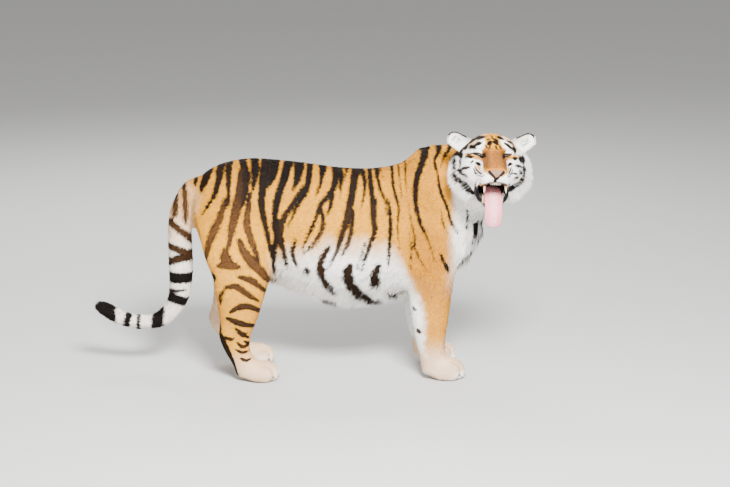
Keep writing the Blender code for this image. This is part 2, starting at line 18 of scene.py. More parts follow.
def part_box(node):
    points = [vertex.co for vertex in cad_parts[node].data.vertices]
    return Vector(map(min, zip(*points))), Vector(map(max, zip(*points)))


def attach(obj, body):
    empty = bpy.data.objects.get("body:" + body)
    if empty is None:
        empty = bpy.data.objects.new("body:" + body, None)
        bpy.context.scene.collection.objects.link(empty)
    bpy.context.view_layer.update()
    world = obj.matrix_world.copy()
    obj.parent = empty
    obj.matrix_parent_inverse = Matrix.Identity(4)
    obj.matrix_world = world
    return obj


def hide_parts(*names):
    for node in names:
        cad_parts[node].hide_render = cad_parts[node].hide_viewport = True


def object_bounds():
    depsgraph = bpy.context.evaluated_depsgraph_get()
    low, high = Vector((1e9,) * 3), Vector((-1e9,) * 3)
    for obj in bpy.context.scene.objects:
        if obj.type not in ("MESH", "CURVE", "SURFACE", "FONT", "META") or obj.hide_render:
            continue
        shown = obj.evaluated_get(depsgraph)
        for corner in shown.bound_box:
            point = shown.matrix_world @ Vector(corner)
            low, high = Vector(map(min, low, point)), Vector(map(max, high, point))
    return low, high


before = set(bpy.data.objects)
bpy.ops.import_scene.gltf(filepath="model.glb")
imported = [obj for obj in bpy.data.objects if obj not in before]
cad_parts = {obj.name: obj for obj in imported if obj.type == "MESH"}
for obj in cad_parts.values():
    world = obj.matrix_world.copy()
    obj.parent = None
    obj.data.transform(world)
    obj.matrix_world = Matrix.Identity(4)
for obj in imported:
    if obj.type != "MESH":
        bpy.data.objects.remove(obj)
CAD_LOW, CAD_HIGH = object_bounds()

# ---------------------------------------------------------------- sizes and places
VOXEL = 0.0066               # fineness of the fused skin
FINE_HEAD = 0.185            # reach of the first finer zone, from the middle of the face
FINE_FACE = 0.122
FINE_EYE = 0.027
FINE_TOES = ((0.088, 0.035), (0.080, 0.028))    # reach and set-back of the two zones at the toes
TOE_HEIGHT = 0.035
FACE_MIDDLE = (0.0, 0.04, -0.07)                # in head axes
HEAD_PITCH = math.radians(9.0)
MID_Y = (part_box("trunk")[0].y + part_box("trunk")[1].y) / 2      # the body's middle plane

# Solids that aren't fused into the skin: the ears are made anew and joined to it
SEPARATE = ("ear_left", "ear_right", "eye_left", "eye_right", "tongue")
FLESH = [name for name in sorted(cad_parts) if name not in SEPARATE]

# Rounds of averaging over neighbouring points
REGION_ROUNDS = 14           # borders between the regions
BODY_ROUNDS = 12             # the skin of the body
CRISP_ROUNDS = 4             # the skin of face, muzzle and feet
DEPTH_ROUNDS = 8             # depth of the coat
LAST_ROUNDS = 2              # the skin once drawn in
FACE_ROUNDS = 14             # front of the face before it is sculpted
TONE_ROUNDS = 3              # brownness of the stripes
LIE_ROUNDS = 10              # the way the hairs lie

# Hollow of the mouth in head axes: centre, half width, half height
MOUTH = [
    ((0.0, -0.074, -0.142), 0.041, 0.024),
    ((0.0, -0.035, -0.150), 0.051, 0.035),
    ((0.0, 0.010, -0.162), 0.059, 0.048),
    ((0.0, 0.060, -0.169), 0.064, 0.052),
    ((0.0, 0.160, -0.178), 0.071, 0.061),
]
MOUTH_SQUARENESS = 2.6       # 2 is a true oval, more is squarer
MOUTH_BACK_ROOM = 0.015      # the lining of the mouth starts this far behind its first station

random = np.random.default_rng(12)


# ---------------------------------------------------------------- small makers
def smoothstep(low, high, value):
    """Soft ramp from 0 at `low` to 1 at `high`, either of which may be the greater. Its ends are
    places in metres along the measure given, or shares where a share or a normal is given."""
    t = np.clip((value - low) / (high - low), 0.0, 1.0)
    return t * t * (3.0 - 2.0 * t)


def unit(vectors):
    return vectors / np.maximum(np.linalg.norm(vectors, axis=-1, keepdims=True), 1e-9)


def points_of(mesh):
    flat = np.empty(3 * len(mesh.vertices), np.float32)
    mesh.vertices.foreach_get("co", flat)
    return flat.reshape(-1, 3).astype(float)


def normals_of(mesh):
    flat = np.empty(3 * len(mesh.vertices), np.float32)
    mesh.vertex_normals.foreach_get("vector", flat)
    return flat.reshape(-1, 3).astype(float)


def place_points(mesh, points):
    mesh.vertices.foreach_set("co", points.astype(np.float32).ravel())
    mesh.update()


def show(name, mesh):
    item = bpy.data.objects.new(name, mesh)
    bpy.context.scene.collection.objects.link(item)
    return item


def discard(item):
    mesh = item.data
    bpy.data.objects.remove(item, do_unlink=True)
    bpy.data.meshes.remove(mesh)


def smooth_shade(mesh):
    mesh.polygons.foreach_set("use_smooth", np.ones(len(mesh.polygons), bool))


def settle(item):
    """Make the object's modifiers real."""
    bpy.context.view_layer.update()
    graph = bpy.context.evaluated_depsgraph_get()
    mesh = bpy.data.meshes.new_from_object(item.evaluated_get(graph))
    item.modifiers.clear()
    old = item.data
    item.data = mesh
    bpy.data.meshes.remove(old)


def store(mesh, name, values):
    """Keep a number or a triple on each point of the mesh, in place of any of that name."""
    if name in mesh.attributes:
        mesh.attributes.remove(mesh.attributes[name])
    triple = values.ndim == 2
    layer = mesh.attributes.new(name, "FLOAT_VECTOR" if triple else "FLOAT", "POINT")
    layer.data.foreach_set("vector" if triple else "value", values.astype(np.float32).ravel())


def read(mesh, name):
    layer = mesh.attributes[name]
    triple = layer.data_type == "FLOAT_VECTOR"
    flat = np.empty((3 if triple else 1) * len(mesh.vertices), np.float32)
    layer.data.foreach_get("vector" if triple else "value", flat)
    return flat.reshape(-1, 3).astype(float) if triple else flat.astype(float)


def surface_tree(mesh):
    return BVHTree.FromPolygons([v.co for v in mesh.vertices], [tuple(p.vertices) for p in mesh.polygons])


def smooth_rows(rows, steps):
    """Rows of numbers with `steps` rows on a smooth curve between each two that are given."""
    rows = np.array(rows, dtype=float)
    padded = np.vstack([2 * rows[0] - rows[1], rows, 2 * rows[-1] - rows[-2]])
    out = []
    for i in range(1, len(padded) - 2):
        p0, p1, p2, p3 = padded[i - 1:i + 3]
        for k in range(steps):
            t = k / steps
            bend = (2 * p0 - 5 * p1 + 4 * p2 - p3) * t ** 2 + (3 * p1 - p0 - 3 * p2 + p3) * t ** 3
            out.append(0.5 * (2 * p1 + (p2 - p0) * t + bend))
    out.append(rows[-1])
    return np.array(out)


def loft(rings, name="loft"):
    """Closed mesh through rings of points, with a fan over each end."""
    build = bmesh.new()
    rows = [[build.verts.new(point) for point in ring] for ring in rings]
    count = len(rows[0])
    for lower, upper in zip(rows, rows[1:]):
        for j in range(count):
            k = (j + 1) % count
            build.faces.new((lower[j], lower[k], upper[k], upper[j]))
    for row in (rows[0], rows[-1]):
        middle = build.verts.new(sum((v.co for v in row), Vector()) / count)
        for j in range(count):
            build.faces.new((row[j], row[(j + 1) % count], middle))
    bmesh.ops.recalc_face_normals(build, faces=build.faces)
    mesh = bpy.data.meshes.new(name)
    build.to_mesh(mesh)
    build.free()
    return mesh


# ---------------------------------------------------------------- the head's own axes
def middle(node):
    low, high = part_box(node)
    return (low + high) / 2


EYE_RIGHT, EYE_LEFT = middle("eye_right"), middle("eye_left")
EYE_RADIUS = (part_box("eye_left")[1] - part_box("eye_left")[0]).x / 2
EYE_SET_BACK = 0.010         # the solid eyes' centres behind the origin of the head axes
EYE_SIDE = (EYE_LEFT - EYE_RIGHT).length / 2
EYE_DEPTH = -0.0125          # place of the eyeballs' centres along the way ahead
EYE_ROOM = 0.004             # flesh round each eye, into which the lids are sculpted
EYE_BEHIND = 0.0030          # the skin behind the eyeball, below its surface
LID = 0.0024                 # thickness of the lids
SLIT_MIDDLE = (0.0565, -0.0015)                 # side, up
SLIT_HALF = 0.0150           # half length of the opening between the lids
SLIT_OPEN = 0.0019           # half of its height
SLIT_SLOPE = 0.20            # the outer corner is the higher one
FACE_START = -0.03           # the front of the head begins here, along the way ahead
NO_MARK = 0.05               # distance that stands for "nowhere near"


def head_axes():
    """Rows of the head's axes: to the tiger's left, ahead out of the face, and up."""
    across = (EYE_LEFT - EYE_RIGHT).normalized()
    up = (Vector((0, 0, 1)) - across * across.z).normalized()
    ahead = across.cross(up)
    tipped_ahead = ahead * math.cos(HEAD_PITCH) + up * math.sin(HEAD_PITCH)
    tipped_up = up * math.cos(HEAD_PITCH) - ahead * math.sin(HEAD_PITCH)
    return np.array([across, tipped_ahead, tipped_up])


HEAD_AXES = head_axes()
HEAD_ORIGIN = np.array((EYE_RIGHT + EYE_LEFT) / 2) + HEAD_AXES[1] * EYE_SET_BACK


def to_head(points):
    return (points - HEAD_ORIGIN) @ HEAD_AXES.T


def from_head(local):
    return np.asarray(local) @ HEAD_AXES + HEAD_ORIGIN


def lid_gap(local):
    """Distance from the opening between the lids, negative inside it."""
    along = np.abs(local[:, 0]) - SLIT_MIDDLE[0]
    off = local[:, 2] - SLIT_MIDDLE[1] - SLIT_SLOPE * along
    height = SLIT_OPEN * (1 - (along / SLIT_HALF) ** 2)
    beyond = np.maximum(np.abs(along) - SLIT_HALF, 0)
    gap = np.hypot(np.maximum(np.abs(off) - np.maximum(height, 0), 0), beyond)
    gap = np.where((np.abs(off) < height) & (beyond == 0), np.abs(off) - height, gap)
    return np.where(local[:, 1] > FACE_START, gap, NO_MARK)


# ---------------------------------------------------------------- skin
def tube_in_head(stations, squareness, steps, count, press=None):
    """Loft in head axes, each ring square to the path; `press` draws its upper side in."""
    rows = smooth_rows([(*centre, width, height) for centre, width, height in stations], steps)
    rings = []
    for i, row in enumerate(rows):
        ahead = rows[min(i + 1, len(rows) - 1)][:3] - rows[max(i - 1, 0)][:3]
        ahead = ahead / np.linalg.norm(ahead)
        rise = np.array((0.0, -ahead[2], ahead[1]))
        ring = []
        for j in range(count):
            angle = 2 * math.pi * j / count
            c, s = math.cos(angle), math.sin(angle)
            c = math.copysign(abs(c) ** (2 / squareness), c)
            s = math.copysign(abs(s) ** (2 / squareness), s)
            if press and s > 0:
                s -= press(c * row[3], i / (len(rows) - 1)) / row[4]
            at = row[:3] + np.array((1.0, 0, 0)) * c * row[3] + rise * s * row[4]
            ring.append(Vector(from_head(at)))
        rings.append(ring)
    return loft(rings)


def without(item, cutter_mesh):
    cutter = show("cutter", cutter_mesh)
    cut = item.modifiers.new("cut", "BOOLEAN")
    cut.object = cutter
    cut.operation = "DIFFERENCE"
    cut.solver = "EXACT"
    settle(item)
    discard(cutter)


def fused_flesh():
    """One smooth closed surface round all the solids of flesh, the teeth left out."""
    build = bmesh.new()
    for name in FLESH:
        part = show("part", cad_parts[name].data.copy())
        if name in ("head", "lower_jaw"):
            without(part, tube_in_head(MOUTH, MOUTH_SQUARENESS, steps=2, count=20))
        build.from_mesh(part.data)
        discard(part)
    for centre in (EYE_LEFT, EYE_RIGHT):
        place, reach = Matrix.Translation(centre), EYE_RADIUS + EYE_ROOM
        bmesh.ops.create_uvsphere(build, u_segments=32, v_segments=20, radius=reach, matrix=place)
    mesh = bpy.data.meshes.new("skin")
    build.to_mesh(mesh)
    build.free()
    skin = show("skin", mesh)
    fuse = skin.modifiers.new("fuse", "REMESH")
    fuse.mode = "VOXEL"
    fuse.voxel_size = VOXEL
    settle(skin)
    return skin


# ---------------------------------------------------------------- regions of the body
REGIONS = {
    "head": ("head", "lower_jaw", "nose"),
    "ear": ("ear_left", "ear_right"),
    "neck": ("neck",),
    "trunk": ("trunk",),
    "upper_leg": ("front_upper_leg", "hind_upper_leg"),
    "lower_leg": ("front_lower_leg", "hind_lower_leg"),
    "foot": ("front_foot", "hind_foot"),
    "tail": ("tail_base", "tail_middle", "tail_lower", "tail_tip"),
}
REGION_NAMES = list(REGIONS)


def region_of(node):
    for number, starts in enumerate(REGIONS.values()):
        if node.startswith(starts):
            return number
    return REGION_NAMES.index("head")


def nearest_label(points, label):
    """The label, given by name, of the solid that lies nearest to each point."""
    corners, faces, labels = [], [], []
    for name in sorted(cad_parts):
        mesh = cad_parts[name].data
        start = len(corners)
        corners += [v.co.copy() for v in mesh.vertices]
        faces += [[start + k for k in face.vertices] for face in mesh.polygons]
        labels += [label(name)] * len(mesh.polygons)
    tree = BVHTree.FromPolygons(corners, faces)
    return np.array([labels[tree.find_nearest(Vector(point))[2]] for point in points])


def edge_pairs(mesh):
    flat = np.empty(2 * len(mesh.edges), np.int32)
    mesh.edges.foreach_get("vertices", flat)
    return flat.reshape(-1, 2)


def spread(values, pairs, rounds):
    """Average each point's values with those of its neighbours."""
    values = np.array(values, dtype=float)
    if values.ndim == 1:
        return spread(values[:, None], pairs, rounds)[:, 0]
    one, other = pairs[:, 0], pairs[:, 1]
    count = len(values)
    links = np.bincount(one, minlength=count) + np.bincount(other, minlength=count) + 1.0
    for _ in range(rounds):
        total = values.copy()
        for k in range(values.shape[1]):
            total[:, k] += np.bincount(one, values[other, k], count)
            total[:, k] += np.bincount(other, values[one, k], count)
        values = total / links[:, None]
    return values


def region_shares(points, pairs):
    """How much each point belongs to each region, blended over their borders."""
    own = np.zeros((len(points), len(REGION_NAMES)))
    own[np.arange(len(points)), nearest_label(points, region_of)] = 1.0
    return spread(own, pairs, REGION_ROUNDS)


# Zones of the coat, each a product of shares of regions and of ramps: a measure, where it
# gives nothing and where it gives all. "from_face" is the distance from the middle of the face.
FACE_CENTRE_UP = -0.03
BIB_ON_LEGS = 0.6
ZONES = {
    "face": [("head",), ("ahead", -0.055, 0.0), ("from_face", 0.115, 0.085)],
    "muzzle": [("head",), ("ahead", 0.025, 0.06)],
    "cheek": [("head",), ("ahead", -0.125, -0.06), ("from_face", 0.155, 0.110)],
    "jaw": [("head",), ("from_mouth", 0.034, 0.018), ("up", -0.10, -0.12)],
    "ruff": [("head",), ("from_face", 0.105, 0.145), ("ahead", 0.03, -0.04), ("up", 0.06, -0.05),
             ("ahead", -0.24, -0.12)],
    "belly": [("trunk",), ("facing_up", -0.15, -0.75), ("z", 0.62, 0.45), ("x", -0.36, -0.16)],
    "chest": [("facing_front", 0.15, 0.7), ("x", 0.55, 0.66), ("bib",), ("z", 0.34, 0.50), ("z", 1.0, 0.85)],
}


class Places:
    """Where points lie on the tiger: shares of regions, head coordinates and named zones."""

    def __init__(self, points, normals, shares):
        self.points = points
        self.normals = normals
        self.x, self.y, self.z = points.T
        self.side = np.sign(self.y - MID_Y)
        self.local = to_head(points)
        self.head_side = np.sign(self.local[:, 0])
        self.bare = np.zeros(len(points))
        self.share = {name: shares[:, k] for k, name in enumerate(REGION_NAMES)}
        u, ahead, v = self.local.T
        bib = self.share["trunk"] + self.share["neck"] + BIB_ON_LEGS * self.share["upper_leg"]
        measures = {
            "x": self.x, "z": self.z, "ahead": ahead, "up": v,
            "facing_front": normals[:, 0], "facing_up": normals[:, 2],
            "from_face": np.sqrt(u ** 2 + (v - FACE_CENTRE_UP) ** 2), "from_mouth": mouth_depth(self.local),
        }
        for zone, factors in ZONES.items():
            amount = np.ones(len(points))
            for name, *ends in factors:
                if ends:
                    amount = amount * smoothstep(*ends, measures[name])
                else:
                    amount = amount * (bib if name == "bib" else self.share[name])
            setattr(self, zone, amount)


# Depth of the coat between skin and solids, by region, metres
COAT_DEPTH = {
    "head": 0.0065, "ear": 0.0, "neck": 0.011, "trunk": 0.0075,
    "upper_leg": 0.0065, "lower_leg": 0.0045, "foot": 0.003, "tail": 0.0035,
}
RUFF_DEEPER = 0.020
BELLY_DEEPER = 0.020
CHEST_DEEPER = 0.012
FACE_DEPTH = 0.0035
MUZZLE_DEPTH = 0.0025


def coat_depth(at):
    depth = sum(at.share[name] * value for name, value in COAT_DEPTH.items())
    depth += at.ruff * RUFF_DEEPER + at.belly * BELLY_DEEPER + at.chest * CHEST_DEEPER
    depth = depth * (1 - at.face) + FACE_DEPTH * at.face
    return depth * (1 - at.muzzle) + MUZZLE_DEPTH * at.muzzle


# ---------------------------------------------------------------- sculpting the skin
def refine(mesh, zones):
    """Split the faces within reach of any of the middle points into four."""
    points, pairs = points_of(mesh), edge_pairs(mesh)
    near = np.zeros(len(points), bool)
    for reach, middle_point in zones:
        near |= np.linalg.norm(points - np.array(middle_point), axis=1) < reach
    build = bmesh.new()
    build.from_mesh(mesh)
    build.edges.ensure_lookup_table()
    edges = [build.edges[int(k)] for k in np.flatnonzero(near[pairs].all(1))]
    bmesh.ops.subdivide_edges(build, edges=edges, cuts=1, use_grid_fill=True)
    build.to_mesh(mesh)
    build.free()


# Profile of the face down its middle: up, ahead; and of the cheek beside the bridge of the nose
BRIDGE_LINE = [(-0.085, 0.128), (-0.060, 0.124), (-0.040, 0.115), (-0.020, 0.090), (0.0, 0.060),
               (0.030, 0.012)]
CHEEK_LINE = [(-0.085, 0.060), (-0.060, 0.030), (-0.040, 0.018), (-0.020, 0.009), (0.0, 0.002),
              (0.030, -0.004)]
# Where the side of the bridge starts to fall and where it meets the cheek: up, inner, outer
BRIDGE_SIDE = [(-0.080, 0.040, 0.070), (-0.035, 0.031, 0.064), (-0.005, 0.022, 0.046), (0.040, 0.018, 0.040)]


def line(table, at, column=1):
    rows = np.array(table)
    return np.interp(at, rows[:, 0], rows[:, column])


# Swellings of the face: side, up, reach sideways, reach upwards; and how far each stands out
BROW, BROW_OUT = (0.050, 0.026, 0.026, 0.013), 0.0065
UNDER_EYE, UNDER_EYE_OUT = (0.062, -0.030, 0.024, 0.014), 0.0040
WHISKER_PAD, WHISKER_PAD_OUT = (0.031, -0.097, 0.020, 0.017), 0.0085
LIP_CLEFT = 0.0050           # half width of the groove under the nose
LIP_CLEFT_DEEP = 0.0065
# Folds beside the nose and creases between the brows: slope, spacing, where, how deep
FOLDS = (0.55, 0.015, (0.040, -0.040, 0.016, 0.026), 0.0013)
CREASES = (-0.3, 0.017, (0.0, 0.015, 0.022, 0.020), 0.0010)
SLOPE_SHARE = 0.75           # how much of the way the flesh moves out to the lines above
FLEWS_HANG = 0.0080          # how far the upper lips hang down beside the canines
FLEWS_SIDE, FLEWS_REACH = 0.046, 0.016
LIDDED = (0.0205, 0.0135)    # the lids lie round the eyeball within this distance of its middle


def hump(u, v, side, up, width, height):
    return np.exp(-(((np.abs(u) - side) / width) ** 2 + ((v - up) / height) ** 2))


def wrinkles(u, v, slope, spacing, where, deep):
    return deep * np.sin((v + slope * np.abs(u)) * 2 * math.pi / spacing) * hump(u, v, *where)


def sculpt_face(skin):
    """Slopes beside the nose, brows, whisker pads, folds, and lids round the eyes."""
    mesh = skin.data
    points, pairs = points_of(mesh), edge_pairs(mesh)
    local = to_head(points)
    u, ahead, v = local.T
    front = (ahead > FACE_START) & (np.abs(u) < 0.12) & (v > -0.135)
    fall = smoothstep(line(BRIDGE_SIDE, v), line(BRIDGE_SIDE, v, 2), np.abs(u))
    cheek = line(CHEEK_LINE, v)
    slope = cheek + (line(BRIDGE_LINE, v) - cheek) * (1 - fall)
    reach = smoothstep(0.045, 0.020, v) * smoothstep(-0.088, -0.072, v) * smoothstep(0.085, 0.065, np.abs(u))
    ahead = ahead + front * reach * SLOPE_SHARE * np.maximum(slope - ahead, 0)
    local[:, 1] = ahead
    zone = (front * smoothstep(0.09, 0.06, np.abs(u)) * smoothstep(0.07, 0.04, v))[:, None]
    zone *= smoothstep(-0.105, -0.085, v)[:, None]
    local = local * (1 - zone) + spread(local, pairs, FACE_ROUNDS) * zone
    u, ahead, v = local.T
    lift = BROW_OUT * hump(u, v, *BROW) + UNDER_EYE_OUT * hump(u, v, *UNDER_EYE)
    pad = smoothstep(0.05, 0.08, ahead) * smoothstep(-0.122, -0.112, v)
    lift += pad * WHISKER_PAD_OUT * hump(u, v, *WHISKER_PAD)
    lift -= pad * LIP_CLEFT_DEEP * np.exp(-(u / LIP_CLEFT) ** 2) * smoothstep(-0.088, -0.098, v)
    lift += wrinkles(u, v, *FOLDS)
    lift += wrinkles(u, v, *CREASES)
    ahead = ahead + front * lift
    flews = FLEWS_HANG * np.exp(-((np.abs(u) - FLEWS_SIDE) / FLEWS_REACH) ** 2)
    flews *= smoothstep(-0.092, -0.116, v)
    local[:, 2] = v - flews * smoothstep(0.015, 0.050, ahead) * smoothstep(-0.135, -0.122, v)
    away = np.hypot(np.abs(u) - EYE_SIDE, v)
    round_lid = EYE_DEPTH + np.sqrt(np.maximum((EYE_RADIUS + LID) ** 2 - away ** 2, 0))
    lidded = front * smoothstep(*LIDDED, away)
    ahead = ahead * (1 - lidded) + round_lid * lidded
    local[:, 1] = ahead
    behind = EYE_DEPTH + np.sqrt(np.maximum((EYE_RADIUS - EYE_BEHIND) ** 2 - away ** 2, 0)) - 0.001
    local[:, 1] = np.where(front & (lid_gap(local) < 0), behind, ahead)
    place_points(mesh, from_head(local))


TOES = (-0.048, -0.017, 0.017, 0.048)          # across each foot, from its middle
TOE_SET_BACK = (0.016, 0.0, 0.0, 0.016)
TOE_HALF = 0.0150
TOE_SWELL = 0.0030
TOE_GROOVE = 0.0050          # half width of the groove between two toes
TOE_GROOVE_DEEP = 0.0085
OUTER_TOE_BACK = 0.010
NOSE_BED = 0.0130            # how deep the skin is pressed under the nose leather
FEET = [name for name in sorted(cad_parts) if "_foot_" in name]


def sculpt_toes(skin):
    """Grooves between the toes, and each toe rounded."""
    mesh = skin.data
    for foot in FEET:
        low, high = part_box(foot)
        points = points_of(mesh)
        x, q, z = points[:, 0], points[:, 1] - (low.y + high.y) / 2, points[:, 2]
        near = (x > high.x - 0.13) & (x < high.x + 0.02) & (np.abs(q) < 0.08) & (z < 0.12)
        gaps = [(a + b) / 2 for a, b in zip(TOES, TOES[1:])]
        groove = sum(np.exp(-((q - gap) / TOE_GROOVE) ** 2) for gap in gaps)
        swell = sum(np.maximum(1 - ((q - toe) / TOE_HALF) ** 2, 0) for toe in TOES)
        reach = smoothstep(high.x - 0.095, high.x - 0.060, x) * near
        reach *= 1 - 0.6 * smoothstep(0.055, 0.085, z)
        move = reach * (TOE_SWELL * swell - TOE_GROOVE_DEEP * groove)
        points = points + normals_of(mesh) * move[:, None]
        outer = near * smoothstep(0.030, 0.045, np.abs(q)) * smoothstep(high.x - 0.09, high.x - 0.03, x)
        points[:, 0] -= OUTER_TOE_BACK * outer
        place_points(mesh, points)


def make_skin():
    """The sculpted skin, the shares of the regions on it, and its surface before the nose is laid in."""
    skin = fused_flesh()
    mesh = skin.data
    points, pairs = points_of(mesh), edge_pairs(mesh)
    shares = region_shares(points, pairs)
    soft = spread(points, pairs, BODY_ROUNDS)
    at = Places(points, normals_of(mesh), shares)
    crisp = np.clip(at.face + 0.7 * at.share["foot"] + 0.6 * at.muzzle, 0, 1)[:, None]
    points = soft * (1 - crisp) + spread(points, pairs, CRISP_ROUNDS) * crisp
    place_points(mesh, points)
    depth = spread(coat_depth(at), pairs, DEPTH_ROUNDS)
    points = points - normals_of(mesh) * depth[:, None]
    place_points(mesh, spread(points, pairs, LAST_ROUNDS))
    names = [f"region_{k}" for k in range(len(REGION_NAMES))]
    for name, share in zip(names, shares.T):
        store(mesh, name, share)
    face_middle = from_head(FACE_MIDDLE)
    toes = [(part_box(foot)[1].x, (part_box(foot)[0].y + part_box(foot)[1].y) / 2) for foot in FEET]
    for face_reach, (toe_reach, back) in zip((FINE_HEAD, FINE_FACE), FINE_TOES):
        near_toes = [(toe_reach, (x - back, y, TOE_HEIGHT)) for x, y in toes]
        refine(mesh, [(face_reach, face_middle)] + near_toes)
    refine(mesh, [(FINE_EYE, from_head((side * EYE_SIDE, 0.006, 0.0))) for side in (-1, 1)])
    sculpt_face(skin)
    sculpt_toes(skin)
    muzzle = surface_tree(mesh)
    local = to_head(points_of(mesh))
    local[:, 1] -= NOSE_BED * smoothstep(0.0008, -0.0012, nose_gap(local))
    place_points(mesh, from_head(local))
    shares = np.stack([read(mesh, name) for name in names], axis=1)
    for name in names:
        mesh.attributes.remove(mesh.attributes[name])
    return skin, shares, muzzle


# ---------------------------------------------------------------- markings
def mark_field(flat, marks, reach=0.05):
    """Distance from each point to the nearest mark's edge, negative inside it."""
    field = np.full(len(flat), reach)
    for rows in marks:
        low, high = rows[:, :2].min(0) - reach, rows[:, :2].max(0) + reach
        near = np.flatnonzero(np.all((flat > low) & (flat < high), axis=1))
        spot, best = flat[near], field[near]
        for a, b in zip(rows, rows[1:]):
            step = b[:2] - a[:2]
            t = np.clip(((spot - a[:2]) @ step) / max(step @ step, 1e-9), 0, 1)
            off = np.linalg.norm(spot - a[:2] - t[:, None] * step, axis=1)
            best = np.minimum(best, off - (a[2] + (b[2] - a[2]) * t))
        field[near] = best
    return field


CM = 0.01
TAPER, THIN_END = 0.78, 0.22                   # of a mark's width: what a thin end loses and keeps
BACK_POWER = 1.6             # a stripe from the back thins out late
SIDE_START, SIDE_SPAN = 0.12, 0.80             # a side mark swells like this part of half a wave
MARK_STEPS = 4               # rows between two given places of a mark


def mark_rows(kind, half, path, scale=1.0):
    """A mark's centre line and half width: open at the start, tapered at both ends, or even."""
    count = len(path)
    rows = []
    for i, (x, z) in enumerate(path):
        t = i / max(count - 1, 1)
        if kind == "back":
            width = half * (1.0 - TAPER * t ** BACK_POWER)
        elif kind == "side":
            width = half * (THIN_END + TAPER * math.sin(math.pi * (SIDE_START + SIDE_SPAN * t)))
        else:
            width = half
        rows.append((x * scale, z * scale, width * scale))
    if count == 1:
        rows.append((rows[0][0] + half * scale, rows[0][1], rows[0][2]))
        return np.array(rows)
    return smooth_rows(rows, MARK_STEPS)


def marks_of(table, half_units, units):
    """Kind, how brown, half width and path of each mark, from whole numbers in finer units."""
    for kind, brown, half, *run in table:
        path = [(x / units, z / units) for x, z in zip(run[::2], run[1::2])]
        yield kind, brown, half / half_units, path


